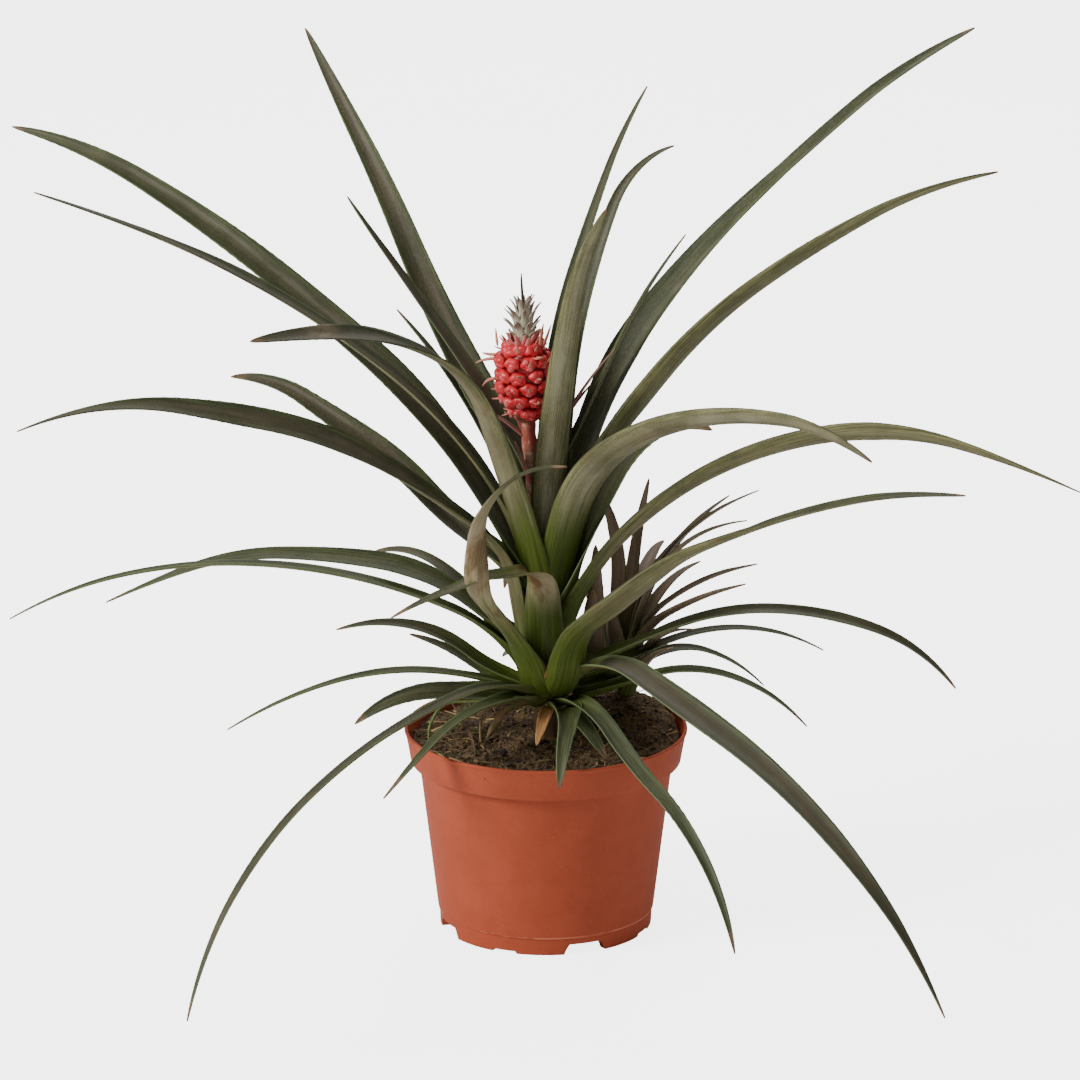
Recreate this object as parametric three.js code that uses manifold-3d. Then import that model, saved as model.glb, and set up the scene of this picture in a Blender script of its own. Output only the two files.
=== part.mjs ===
// A dwarf pineapple plant in its round plastic nursery pot, 120 mm across the rim.
// Millimetres, +Z up, +X to the viewer's right, -Y towards the viewer. The origin is the
// centre of the pot's foot, on the surface that the pot stands on.
// Every leaf is a solid of its own. It is a channelled blade swept along a path that starts
// on the stem and is steered by two short lists: where it heads, and how steeply it climbs.

import * as THREE from 'three';
import { mergeVertices } from 'three/addons/utils/BufferGeometryUtils.js';
import Module from 'manifold-3d';

const wasm = await Module();
wasm.setup();

// ---------------------------------------------------------------- driving dimensions (mm)

const GAP = 0.3;                  // clearance kept where two solids meet
const SIDES = 36;                 // facets round the pot
const FACET_SLACK = 0.04;         // facets flatter than this are merged

const RIM_RADIUS = 60;            // outer radius at the pot's lip
const RIM_HEIGHT = 87;            // top of the lip above the foot
const SKIRT_HEIGHT = 14;          // the deeper band under the lip
const SKIRT_RADIUS = 57.4;        // outer radius at the band's lower edge
const BODY_TOP_RADIUS = 53.8;     // outer radius of the tapered body under the band
const SEAM_HEIGHT = 7.6;          // fine step round the body, above the foot
const SEAM_RADIUS = 45.9;
const FOOT_RADIUS = 45;
const FOOT_WIDTH = 4;             // width of the ring that the pot stands on
const WALL = 1.4;
const FLOOR_HEIGHT = 5;           // underside of the raised floor

// The foot ring has two sets of notches, four round the pot in each; turn is the direction in
// degrees of the one nearest the right of the front.
const DRAIN_NOTCH = { width: 18, height: 4.4, turn: -68 };
const AIR_NOTCH = { width: 11, height: 1.1, turn: -23 };
const DRAIN_HOLES = 8;
const DRAIN_RADIUS = 3.5;
const DRAIN_CIRCLE = 33;

const SOIL_LEVEL = 81.5;          // peat surface at the pot's left
const SOIL_LUMPS = 0.8;           // height of its lumps
const SOIL_HEAP = { x: 3, y: 2, height: 5, spread: 14 };
const SOIL_MOUND = { x: 33, y: 25, height: 11, spread: 17 };

const STEM = { foot: [4, 0, 72], top: [-1.5, 0, 163], footRadius: 9.5, topRadius: 3.8 };
const OFFSET = { foot: [33, 20, 84], top: [33, 20, 112], footRadius: 6.5, topRadius: 3.5 };

const STALK_RADIUS = 3.2;
const STALK_PATH = [[-1.5, 0, 163.3], [-3.5, 0, 180], [-5.8, 0, 200], [-7.8, 0, 223.2]];

const FRUIT = { x: -7.9, foot: 223.5, height: 33, radius: 11.6, tilt: -3.5 };
const BERRY_ROWS = 6;
const BERRIES_A_ROW = 9;
const BERRY_RADIUS = 4.3;
const BERRY_DEPTH = 4.2;

const CROWN_HEIGHT = 14;
const CROWN_SHIFT = 1;            // the crown stands a little right of the fruit's middle
const CROWN_SPIKE = 14;
const CROWN_SCALES = 24;
const GOLDEN_TURN = 137.5;        // degrees from one scale to the next

const BLADE_EDGE = 0.7;           // thickness of a leaf at its edges
const BLADE_RIB = 1;              // and along its middle
const CHANNEL = 0.2;              // rise of the edges, and dip of the middle, per half width
const BLADE_STEP = 24;            // longest facet along a leaf
const STRIDES = 6;                // strides in which each facet's path is walked
const SHEATH_SHARE = 0.45;        // how much of a leaf's length its sheath takes up
const HEEL = 2;                   // how far a blade's foot reaches in, and back, to meet its stem

// Each leaf has a root, its height on the stem; a heading, its direction in plan in degrees
// anticlockwise from +X; a lean, its angle above the horizon; a roll, the turn of its face
// about its own line; a length along the blade; and a width. Headings, leans and rolls are
// lists of evenly spaced stations from root to tip. A sheath is a share added to the width of
// the lower part.
const LEAVES = {
  inner_1: {
    root: 158, heading: [138], lean: [112, 45, 53, 59, 53, 53], roll: [0, 29, 47, 60],
    length: 255, width: 14,
  },
  inner_2: {
    root: 152, heading: [150], lean: [112, 53, 47, 50], roll: [0, 10, 10, -5], length: 188,
    width: 9,
  },
  inner_3: {
    root: 154, heading: [146], lean: [78, 63, 49, 38], roll: [0], length: 128, width: 6,
  },
  inner_4: {
    root: 160, heading: [62, 55], lean: [100, 88, 74, 57, 53, 38], roll: [0, -8, -5, 10],
    length: 214, width: 6.5,
  },
  inner_5: {
    root: 155, heading: [43, 35], lean: [78.6, 89.3, 81.3, 71.3, 62.7, 5],
    roll: [0, -20, -28, -18], length: 198, width: 9,
  },
  inner_6: {
    root: 150, heading: [8], lean: [112, 65, 65, 52], roll: [0, 0, 7], length: 165, width: 9,
  },
  inner_7: {
    root: 150, heading: [285, 300], lean: [96, 74, 71, 49], roll: [0, 12, 21, 26], length: 190,
    width: 13.5,
  },
  upper_1: {
    root: 152, heading: [25, 20], lean: [81, 72, 49, 39, 36, 21], roll: [0, -21, 3, -22],
    length: 306, width: 16,
  },
  upper_2: {
    root: 146, heading: [350, 345], lean: [98, 57, 52, 38, 31, 14], roll: [0, 36, 42, 42],
    length: 283, width: 14,
  },
  upper_3: {
    root: 149, heading: [166], lean: [66, 55.5, 40, 35.5, 29, 8.5], roll: [0, 30, 56, 75],
    length: 301.5, width: 15,
  },
  upper_4: {
    root: 146, heading: [184], lean: [84, 57, 41, 32.5, 24, 19], roll: [0, 8, 10, -4],
    length: 285, width: 12,
  },
  upper_5: {
    root: 140, heading: [225, 215], lean: [86, 69.5, 67, 30, 11, -1], roll: [0, 2, 14, 50],
    length: 232, width: 17,
  },
  upper_6: {
    root: 140, heading: [305, 328], lean: [85, 67, 34.5, 18, 3, -29], roll: [0, 22, 34, 50, 60],
    length: 230, width: 17.2,
  },
  upper_7: {
    root: 143, heading: [172], lean: [63, 36, 48, 34, 33, -6], roll: [0, 30, 62, 72],
    length: 162, width: 13,
  },
  upper_8: {
    root: 134, heading: [350], lean: [77, 78, 65, 62, 32, -25], roll: [0, -35, -55, -50],
    length: 121, width: 15,
  },
  middle_1: {
    root: 114, heading: [198], lean: [74, 82, 39, 37, 27, 16, 12, -3, -19],
    roll: [0, 0, 8, 36, 44, 20, -14], length: 285, width: 15,
  },
  middle_2: {
    root: 142, heading: [186], lean: [73, 48, 40, 38], roll: [0, 24], length: 75, width: 8,
  },
  middle_3: {
    root: 126, heading: [336, 347], lean: [76, 48, 31, 13, -13, -22], roll: [0, 22, 64, 20],
    length: 271, width: 14.2,
  },
  middle_4: {
    root: 104, heading: [285, 290, 312, 318, 322, 325, 328, 328, 328, 328, 328],
    lean: [24, 71, 37, 40, 39, 28, 26, 22, 18, 11.5, 5.5],
    roll: [0, 0, 20, 20, 10, 0, -5, -7, -7], length: 259, width: 15.2,
  },
  middle_5: {
    root: 103, heading: [245, 226, 220, 218, 230, 262, 300, 325, 340, 346, 350],
    lean: [31, 70, 60, 48, 47, 77, 87, 61, 48, 21, -2], roll: [0], length: 152, width: 12,
    sheath: 0.5,
  },
  middle_6: {
    root: 106, heading: [262, 255, 252, 256, 258, 240, 205, 198, 196, 194, 192, 190],
    lean: [55, 73, 82, 85, 88, 40, -4, 1, -22, -16, -23, -30], roll: [0], length: 128,
    width: 13.5, sheath: 0.4,
  },
  middle_7: {
    root: 118, heading: [180], lean: [49, 37.5, 8.5, 1, -19, -26], roll: [0, 26, 20, 0],
    length: 197, width: 11.4,
  },
  middle_8: {
    root: 122, heading: [158], lean: [11, 53, 26, -20], roll: [0, 20], length: 84, width: 9,
  },
  middle_9: {
    root: 106, heading: [190, 188], lean: [68, 27, 15, 3, -11, -29], roll: [0, 0, -4, -10],
    length: 243.5, width: 9.6,
  },
  lower_1: {
    root: 105, heading: [312], lean: [57, -14, -16, -27, -39, -55], roll: [0, -16, -18, 28],
    length: 267, width: 12.6,
  },
  lower_2: {
    root: 100, heading: [300], lean: [25, -27, -16, -38, -69], roll: [0, -20, -30], length: 167,
    width: 7,
  },
  lower_3: {
    root: 98, heading: [290, 270, 262, 260], lean: [18, 5, -22, -68], roll: [0], length: 71,
    width: 9,
  },
  lower_4: {
    root: 97, heading: [299], lean: [10, -20, -35], roll: [0, -18, -34], length: 41, width: 7,
  },
  lower_5: {
    root: 99, heading: [262, 255], lean: [0, -20, -35], roll: [0], length: 28, width: 5.5,
  },
  lower_6: {
    root: 99, heading: [225, 222], lean: [27, -4, -32, -35], roll: [0, -10, -24], length: 96,
    width: 9,
  },
  lower_7: {
    root: 102, heading: [234, 230], lean: [35, 0, -9, -22, -43, -72], roll: [0, -13, -20, -16],
    length: 270, width: 8,
  },
  lower_8: {
    root: 99, heading: [190], lean: [16, 3, -42], roll: [0, 43, 70], length: 79, width: 9,
  },
  lower_9: {
    root: 102, heading: [200, 197], lean: [29, 10, -12, -28], roll: [0, 0, -13], length: 140,
    width: 7,
  },
  lower_10: {
    root: 104, heading: [176], lean: [20, 41, 7, -19], roll: [0, 29, 14], length: 90,
    width: 7.4,
  },
  lower_11: {
    root: 101, heading: [160], lean: [13, 30, 7], roll: [0, 17, 33], length: 59, width: 5.5,
  },
  lower_12: {
    root: 110, heading: [4, 6], lean: [28, 22, -3, -22, -55], roll: [0, 0, -30, -37],
    length: 182, width: 8.4,
  },
  lower_13: {
    root: 107, heading: [14], lean: [14, 22, -6, -33], roll: [0], length: 117, width: 7,
  },
  lower_14: {
    root: 102, heading: [24], lean: [1, 27, -23, -48], roll: [0, -8, -16], length: 100,
    width: 7,
  },
  lower_15: {
    root: 99, heading: [346], lean: [25, 21, -16, -47], roll: [0, -6, 3], length: 111, width: 7,
  },
  back_1: {
    root: 142, heading: [86], lean: [62, 28, 4, -20], roll: [0], length: 190, width: 12,
  },
  back_2: {
    root: 134, heading: [98], lean: [56, 24, -2, -28], roll: [0], length: 208, width: 12,
  },
  back_3: {
    root: 128, heading: [84], lean: [52, 22, -4, -38], roll: [0], length: 204, width: 12,
  },
  back_4: {
    root: 114, heading: [98], lean: [42, 12, -20, -50], roll: [0], length: 150, width: 10,
  },
  back_5: {
    root: 108, heading: [88], lean: [36, 4, -30, -55], roll: [0], length: 130, width: 10,
  },
  back_6: {
    root: 100, heading: [104], lean: [12, -4, -30], roll: [0], length: 80, width: 8,
  },
};
const DRIED_LEAF = 'lower_5';

// The young side shoot's leaves, in the same terms, from its own short stem.
const SHOOT_LEAVES = [
  { root: 107, heading: [60], lean: [90, 63], roll: [0], length: 81, width: 7 },
  { root: 108, heading: [130], lean: [84, 92, 54], roll: [0], length: 76, width: 10 },
  { root: 100, heading: [200, 250, 270], lean: [30, 84, 88], roll: [0], length: 50, width: 13 },
  { root: 106, heading: [8], lean: [98, 51.5, 17.5], roll: [0, 20], length: 103, width: 10.5 },
  { root: 104.5, heading: [28], lean: [88, 24], roll: [0, 15], length: 91, width: 9 },
  { root: 104, heading: [350], lean: [92, 59.5, 8], roll: [0, 20], length: 95, width: 9 },
  { root: 102, heading: [45], lean: [84, 3.3], roll: [0, 10], length: 66, width: 8 },
  { root: 101, heading: [356], lean: [96, 37, 11], roll: [0, 25], length: 83, width: 11 },
  { root: 99, heading: [336], lean: [94, 34, 19], roll: [0, 25], length: 80, width: 11 },
  { root: 104, heading: [75], lean: [70, -10], roll: [0], length: 84, width: 8 },
  { root: 97, heading: [328], lean: [88, 4], roll: [0, 20], length: 50, width: 7.5 },
  { root: 95, heading: [305], lean: [68, 18], roll: [0], length: 46, width: 7.5 },
  { root: 98, heading: [110], lean: [60, 5], roll: [0], length: 60, width: 8 },
  { root: 100, heading: [240], lean: [82, 74], roll: [0], length: 38, width: 10 },
  { root: 104, heading: [190, 240, 268, 270], lean: [40, 80, 91, 100], roll: [0], length: 62, width: 9.5 },
];

// The pointed bracts on the fruit's stalk: height, heading, lean, length.
const BRACTS = [
  { root: 200, heading: [5], lean: [66, 50], roll: [0], length: 62, width: 4 },
  { root: 204, heading: [20], lean: [55, 48], roll: [0], length: 40, width: 3.5 },
  { root: 214, heading: [175], lean: [45, 25], roll: [0], length: 21, width: 4 },
  { root: 212, heading: [120], lean: [60, 40], roll: [0], length: 24, width: 4 },
  { root: 190, heading: [215], lean: [74, 66], roll: [0], length: 26, width: 4 },
];

// ---------------------------------------------------------------------------- materials

function finish(color, roughness) {
  return new THREE.MeshStandardMaterial({ color, roughness, metalness: 0 });
}
const TERRACOTTA_PLASTIC = finish(0xb4562f, 0.5);
const PEAT = finish(0x33261b, 0.95);
const LEAF_GREEN = finish(0x3f4a35, 0.45);
const STEM_GREEN = finish(0x5a6b1c, 0.55);
const SHOOT_BROWN = finish(0x5b4a42, 0.5);
const DRIED = finish(0xb9804f, 0.8);
const STALK_PINK = finish(0xa4685a, 0.6);
const FRUIT_RED = finish(0xc22f3c, 0.35);
const CROWN_GREY = finish(0x77755f, 0.7);

// --------------------------------------------------------------------- solids and meshes

function solidOf(geometry) {
  const bare = geometry.clone();
  bare.deleteAttribute('normal');
  bare.deleteAttribute('uv');
  const merged = mergeVertices(bare, 1e-4);
  const mesh = new wasm.Mesh({
    numProp: 3,
    vertProperties: new Float32Array(merged.attributes.position.array),
    triVerts: new Uint32Array(merged.index.array),
  });
  mesh.merge();
  return new wasm.Manifold(mesh);
}

function meshOf(name, solid, material) {
  const { vertProperties, triVerts } = largestBody(solid.asOriginal().simplify(FACET_SLACK)).getMesh();
  const geometry = new THREE.BufferGeometry();
  geometry.setAttribute('position', new THREE.BufferAttribute(new Float32Array(vertProperties), 3));
  geometry.setIndex(new THREE.BufferAttribute(new Uint32Array(triVerts), 1));
  geometry.computeVertexNormals();
  const mesh = new THREE.Mesh(geometry, material);
  mesh.name = name;
  return mesh;
}

function turnedAboutZ(points, segments) {
  const profile = points.map(([radius, height]) => new THREE.Vector2(radius, height));
  return new THREE.LatheGeometry(profile, segments).rotateX(Math.PI / 2);
}

function largestBody(solid) {
  const bodies = solid.decompose();
  return bodies.reduce((best, body) => (body.volume() > best.volume() ? body : best));
}

function boxesMeet(a, b) {
  const boxA = a.boundingBox();
  const boxB = b.boundingBox();
  return [0, 1, 2].every((i) => boxA.min[i] < boxB.max[i] && boxB.min[i] < boxA.max[i]);
}

// What is left of a solid when every solid in the list has been cut from it.
function clearOf(solid, others) {
  let rest = solid;
  for (const other of others) {
    if (boxesMeet(rest, other)) {
      rest = rest.subtract(other);
    }
  }
  return largestBody(rest);
}

const radians = THREE.MathUtils.degToRad;

// ---------------------------------------------------------------------------------- pot

const INNER_LEDGE = RIM_HEIGHT - SKIRT_HEIGHT + WALL;
const FLOOR_TOP = FLOOR_HEIGHT + WALL;

function potProfile() {
  return [
    [0, FLOOR_HEIGHT],
    [FOOT_RADIUS - FOOT_WIDTH, FLOOR_HEIGHT],
    [FOOT_RADIUS - FOOT_WIDTH, 0],
    [FOOT_RADIUS, 0],
    [SEAM_RADIUS - 0.5, SEAM_HEIGHT - 0.4],
    [SEAM_RADIUS, SEAM_HEIGHT],
    [BODY_TOP_RADIUS, RIM_HEIGHT - SKIRT_HEIGHT],
    [SKIRT_RADIUS, RIM_HEIGHT - SKIRT_HEIGHT],
    [RIM_RADIUS - 0.5, RIM_HEIGHT - 1.6],
    [RIM_RADIUS, RIM_HEIGHT - 1.2],
    [RIM_RADIUS, RIM_HEIGHT - 0.3],
    [RIM_RADIUS - 0.4, RIM_HEIGHT],
    [RIM_RADIUS - WALL, RIM_HEIGHT],
    [SKIRT_RADIUS - WALL, INNER_LEDGE],
    [BODY_TOP_RADIUS - WALL, INNER_LEDGE],
    [SEAM_RADIUS - WALL, FLOOR_TOP],
    [0, FLOOR_TOP],
  ];
}

function notchCutter({ width, height, turn }) {
  const half = width / 2;
  const corner = height / 4;
  const outline = new THREE.Shape();
  outline.moveTo(-half, -1);
  outline.lineTo(half, -1);
  outline.lineTo(half - corner / 3, height - corner);
  outline.lineTo(half - corner * 1.3, height);
  outline.lineTo(corner * 1.3 - half, height);
  outline.lineTo(corner / 3 - half, height - corner);
  outline.closePath();
  const cutter = new THREE.ExtrudeGeometry(outline, { depth: 10, bevelEnabled: false });
  cutter.rotateX(Math.PI / 2).rotateZ(Math.PI / 2);
  return solidOf(cutter.translate(FOOT_RADIUS - 8, 0, 0)).rotate([0, 0, turn]);
}

function makePot() {
  let pot = solidOf(turnedAboutZ(potProfile(), SIDES));
  for (const notch of [DRAIN_NOTCH, AIR_NOTCH]) {
    for (let quarter = 0; quarter < 4; quarter += 1) {
      pot = pot.subtract(notchCutter({ ...notch, turn: notch.turn + quarter * 90 }));
    }
  }
  const drain = new THREE.CylinderGeometry(DRAIN_RADIUS, DRAIN_RADIUS, 10, 8).rotateX(Math.PI / 2);
  drain.translate(DRAIN_CIRCLE, 0, FLOOR_HEIGHT);
  const hole = solidOf(drain);
  for (let i = 0; i < DRAIN_HOLES; i += 1) {
    pot = pot.subtract(hole.rotate([0, 0, (i * 360) / DRAIN_HOLES]));
  }
  return pot;
}

// --------------------------------------------------------------------------------- soil

function soilHeight(x, y) {
  const raised = [SOIL_HEAP, SOIL_MOUND].map((heap) => {
    const away = Math.hypot(x - heap.x, y - heap.y) / heap.spread;
    return heap.height * Math.exp(-0.5 * away ** 2);
  });
  const lumps = Math.sin(x * 0.31 + y * 0.12) + Math.sin(y * 0.37 - x * 0.09 + 1.3)
    + 0.6 * Math.sin(x * 0.73 + 2.1) * Math.cos(y * 0.66);
  return SOIL_LEVEL + Math.max(...raised) + SOIL_LUMPS * lumps;
}

function makeSoil() {
  const wallAt = (height) => THREE.MathUtils.mapLinear(
    height, INNER_LEDGE, RIM_HEIGHT, SKIRT_RADIUS - WALL, RIM_RADIUS - WALL);
  const edge = wallAt(SOIL_LEVEL - 3) - GAP - 0.2;
  const below = [
    [0, FLOOR_TOP + GAP],
    [SEAM_RADIUS - WALL - 0.5, FLOOR_TOP + GAP],
    [BODY_TOP_RADIUS - WALL - 0.5, INNER_LEDGE + GAP],
    [SKIRT_RADIUS - WALL - 0.5, INNER_LEDGE + GAP],
  ];
  const surface = [1, 0.86, 0.7, 0.54, 0.38, 0.22, 0].map((share) => [edge * share, SOIL_LEVEL]);
  const geometry = turnedAboutZ([...below, ...surface], 30);
  const { position } = geometry.attributes;
  for (let i = 0; i < position.count; i += 1) {
    if (position.getZ(i) > SOIL_LEVEL - 0.01) {
      position.setZ(i, soilHeight(position.getX(i), position.getY(i)));
    }
  }
  return solidOf(geometry);
}

// ------------------------------------------------------------------- stems and leaf blades

// A stem's middle and radius at a height.
function stemAt(stem, height) {
  const share = THREE.MathUtils.inverseLerp(stem.foot[2], stem.top[2], height);
  const middle = new THREE.Vector3(...stem.foot).lerp(new THREE.Vector3(...stem.top), share);
  return { middle, radius: THREE.MathUtils.lerp(stem.footRadius, stem.topRadius, share) };
}

function makeStem(stem, extra = 0) {
  const foot = stem.foot[2] - extra;
  const top = stem.top[2] + extra;
  const profile = [
    [0, foot],
    [stem.footRadius + extra, foot],
    [stem.topRadius + extra, top - 1.2],
    [stem.topRadius - 1.2 + extra, top],
    [0, top],
  ];
  const geometry = turnedAboutZ(profile, 14);
  const { position } = geometry.attributes;
  for (let i = 0; i < position.count; i += 1) {
    const { middle } = stemAt(stem, position.getZ(i));
    position.setX(i, position.getX(i) + middle.x);
    position.setY(i, position.getY(i) + middle.y);
  }
  return solidOf(geometry);
}

// The value at a share, 0 to 1, of the way along an evenly spaced list.
function along(list, share) {
  const place = Math.min(share, 0.9999) * (list.length - 1);
  const i = Math.floor(place);
  return list.length === 1 ? list[0] : THREE.MathUtils.lerp(list[i], list[i + 1], place - i);
}

// Half the width at a share of the length: a narrowed foot, an even blade, a sword's point.
// A sheath widens the lower part.
function halfWidth({ width, sheath = 0 }, share) {
  const foot = Math.min(1, 0.62 + 3.2 * share) + sheath * Math.max(0, 1 - share / SHEATH_SHARE);
  const point = Math.min(1, 1.22 * (1 - share) ** 0.55);
  return Math.max(0.5, (width / 2) * foot * point);
}

// Unit vectors of the blade at a share of its length: ahead along it, sideways across it, and
// out of its upper face.
function bladeFrame(leaf, share) {
  const heading = radians(along(leaf.heading, share));
  const lean = radians(along(leaf.lean, share));
  const ahead = new THREE.Vector3(
    Math.cos(heading) * Math.cos(lean), Math.sin(heading) * Math.cos(lean), Math.sin(lean));
  const side = new THREE.Vector3(Math.sin(heading), -Math.cos(heading), 0);
  side.applyAxisAngle(ahead, -radians(along(leaf.roll, share)));
  const face = new THREE.Vector3().crossVectors(side, ahead);
  return { ahead, side, face };
}

// The six corners of a blade's section about its middle: its edges are raised above its rib.
function bladeSection(leaf, share, middle, extra) {
  const { side, face } = bladeFrame(leaf, share);
  const half = halfWidth(leaf, share) + extra;
  const rise = half * CHANNEL;
  const ring = [
    [-half, rise + extra],
    [0, extra - rise],
    [half, rise + extra],
    [half, rise - BLADE_EDGE - extra],
    [0, -rise - BLADE_RIB - extra],
    [-half, rise - BLADE_EDGE - extra],
  ];
  return ring.map(([across, up]) => middle.clone().addScaledVector(side, across).addScaledVector(face, up));
}

// A blade from its heel, through start, to its tip, grown all round by extra.
function makeBlade(leaf, start, extra = 0) {
  const steps = Math.max(4, Math.ceil(leaf.length / BLADE_STEP) + 2);
  const heading = radians(leaf.heading[0]);
  const inward = new THREE.Vector3(-Math.cos(heading), -Math.sin(heading), 0);
  const heel = start.clone().addScaledVector(inward, HEEL);
  heel.addScaledVector(bladeFrame(leaf, 0).ahead, -HEEL);
  const corners = bladeSection(leaf, 0, heel, extra);
  const middle = start.clone();
  for (let i = 0; i <= steps; i += 1) {
    const share = i / steps;
    corners.push(...bladeSection(leaf, share, middle, extra));
    for (let j = 0.5; j < STRIDES; j += 1) {
      const { ahead } = bladeFrame(leaf, share + j / STRIDES / steps);
      middle.addScaledVector(ahead, leaf.length / steps / STRIDES);
    }
  }
  const faces = [];
  const last = corners.length - 6;
  for (const [a, b, c] of [[0, 5, 1], [1, 5, 4], [1, 4, 2], [2, 4, 3]]) {
    faces.push([a, b, c], [last + a, last + c, last + b]);
  }
  for (let i = 0; i < last; i += 6) {
    for (let j = 0; j < 6; j += 1) {
      const near = i + j;
      const next = i + ((j + 1) % 6);
      faces.push([near, next, near + 6], [next, next + 6, near + 6]);
    }
  }
  const geometry = new THREE.BufferGeometry().setFromPoints(corners);
  geometry.setIndex(faces.flat());
  return solidOf(geometry);
}

// Where a leaf starts: just clear of the stem's side, or sunk in it where the two are joined.
function rootPoint(leaf, stem, sunk) {
  const heading = radians(leaf.heading[0]);
  const { middle, radius } = stemAt(stem, leaf.root);
  const out = radius + (sunk ? -1.5 : GAP + BLADE_RIB);
  return new THREE.Vector3(
    middle.x + out * Math.cos(heading), middle.y + out * Math.sin(heading), leaf.root);
}

// The side shoot is one leafy stem, so its blades are joined to it.
function makeShoot() {
  let shoot = makeStem(OFFSET);
  for (const leaf of SHOOT_LEAVES) {
    shoot = shoot.add(makeBlade(leaf, rootPoint(leaf, OFFSET, true)));
  }
  return shoot;
}

// ---------------------------------------------------------------- stalk, fruit and crown

const stalkCurve = new THREE.CatmullRomCurve3(STALK_PATH.map((point) => new THREE.Vector3(...point)));

// The stalk with its bracts, grown all round by extra.
function makeStalk(extra = 0) {
  const section = new THREE.Shape().absarc(0, 0, STALK_RADIUS + extra, 0, 2 * Math.PI);
  const tube = new THREE.ExtrudeGeometry(section, {
    steps: 8, curveSegments: 5, extrudePath: stalkCurve,
  });
  let stalk = solidOf(tube);
  for (const bract of BRACTS) {
    const share = THREE.MathUtils.mapLinear(
      bract.root, STALK_PATH[0][2], STALK_PATH[STALK_PATH.length - 1][2], 0, 1);
    const heart = stalkCurve.getPoint(share);
    const heading = radians(bract.heading[0]);
    const start = new THREE.Vector3(
      heart.x + 1.5 * Math.cos(heading), heart.y + 1.5 * Math.sin(heading), bract.root);
    stalk = stalk.add(makeBlade(bract, start, extra));
  }
  return stalk;
}

// The fruit's radius at a share of its height: rounded ends, a little slimmer at the foot.
function fruitRadius(share) {
  const ends = Math.sqrt(Math.max(0, 1 - Math.abs(2 * share - 1) ** 3.2));
  return FRUIT.radius * ends * (0.86 + 0.14 * Math.min(1, share * 1.6));
}

function makeFruit() {
  const profile = [[0, 0]];
  for (let i = 1; i < 8; i += 1) {
    profile.push([fruitRadius(i / 8) - 0.6, (i / 8) * FRUIT.height]);
  }
  profile.push([0, FRUIT.height]);
  let fruit = solidOf(turnedAboutZ(profile, 16));
  for (let row = 0; row < BERRY_ROWS; row += 1) {
    const share = (row + 0.55) / (BERRY_ROWS + 0.1);
    const radius = fruitRadius(share);
    for (let i = 0; i < BERRIES_A_ROW; i += 1) {
      const turn = (2 * Math.PI * (i + row / 2)) / BERRIES_A_ROW;
      const berry = new THREE.ConeGeometry(BERRY_RADIUS, BERRY_DEPTH, 6);
      berry.rotateZ(-Math.PI / 2).rotateY(radians(-12));
      berry.translate(radius - 0.4, 0, share * FRUIT.height).rotateZ(turn);
      fruit = fruit.add(solidOf(berry));
    }
  }
  return fruit;
}

function makeCrown() {
  const profile = [[0, 0], [4.4, 0], [4.2, 4], [2.6, 10], [0.9, CROWN_HEIGHT], [0, CROWN_HEIGHT]];
  let crown = solidOf(turnedAboutZ(profile, 10));
  const spike = new THREE.ConeGeometry(1.3, CROWN_SPIKE, 6).rotateX(Math.PI / 2);
  crown = crown.add(solidOf(spike.translate(0, 0, CROWN_HEIGHT + CROWN_SPIKE / 2 - 3)));
  for (let i = 0; i < CROWN_SCALES; i += 1) {
    const share = i / (CROWN_SCALES - 1);
    const scale = new THREE.ConeGeometry(2.3 - 0.6 * share, 10 - 2 * share, 4);
    scale.scale(1, 1, 0.45).rotateX(Math.PI / 2).translate(0, 0, 3).rotateY(radians(48 - 34 * share));
    scale.rotateZ(radians(i * GOLDEN_TURN));
    const out = 3.4 - 2 * share;
    scale.translate(out * Math.cos(radians(i * GOLDEN_TURN)), out * Math.sin(radians(i * GOLDEN_TURN)), 0);
    crown = crown.add(solidOf(scale.translate(0, 0, 1 + share * 10)));
  }
  return crown;
}

function stoodOnStalk(solid, lift) {
  return solid.translate([0, 0, lift]).rotate([0, FRUIT.tilt, 0]).translate([FRUIT.x, 0, FRUIT.foot]);
}

// ----------------------------------------------------------------------------- assembly

const plant = new THREE.Group();

const fruit = stoodOnStalk(makeFruit(), 0);
const tuft = stoodOnStalk(makeCrown().translate([CROWN_SHIFT, 0, 0]), FRUIT.height + GAP);
const crown = clearOf(tuft, [fruit.hull().translate([0, 0, GAP])]);
const shoot = makeShoot();

const taken = [makeStem(STEM, GAP), makeStalk(GAP), fruit.hull()];
for (const [name, leaf] of Object.entries(LEAVES)) {
  const start = rootPoint(leaf, STEM, false);
  const blade = clearOf(makeBlade(leaf, start), taken);
  const material = name === DRIED_LEAF ? DRIED : LEAF_GREEN;
  plant.add(meshOf(`leaf_${name}`, blade, material));
  taken.push(makeBlade(leaf, start, GAP));
}

const soil = makeSoil();
plant.add(
  meshOf('pot', makePot(), TERRACOTTA_PLASTIC),
  meshOf('soil', clearOf(soil, [makeStem(STEM, GAP), makeStem(OFFSET, GAP)]), PEAT),
  meshOf('stem', makeStem(STEM), STEM_GREEN),
  meshOf('stalk', makeStalk(), STALK_PINK),
  meshOf('fruit', fruit, FRUIT_RED),
  meshOf('crown', crown, CROWN_GREY),
  meshOf('shoot', clearOf(shoot, taken), SHOOT_BROWN),
);

export default plant;
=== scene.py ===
# A dwarf pineapple plant in its round plastic nursery pot.
# Lengths are drawn in millimetres and brought to metres when a piece is finished. +Z is up, +X is
# the viewer's right, -Y is towards the viewer, and the pot's foot stands at the origin.

import math
import random

import bmesh
import bpy
from mathutils import Matrix, Quaternion, Vector


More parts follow.
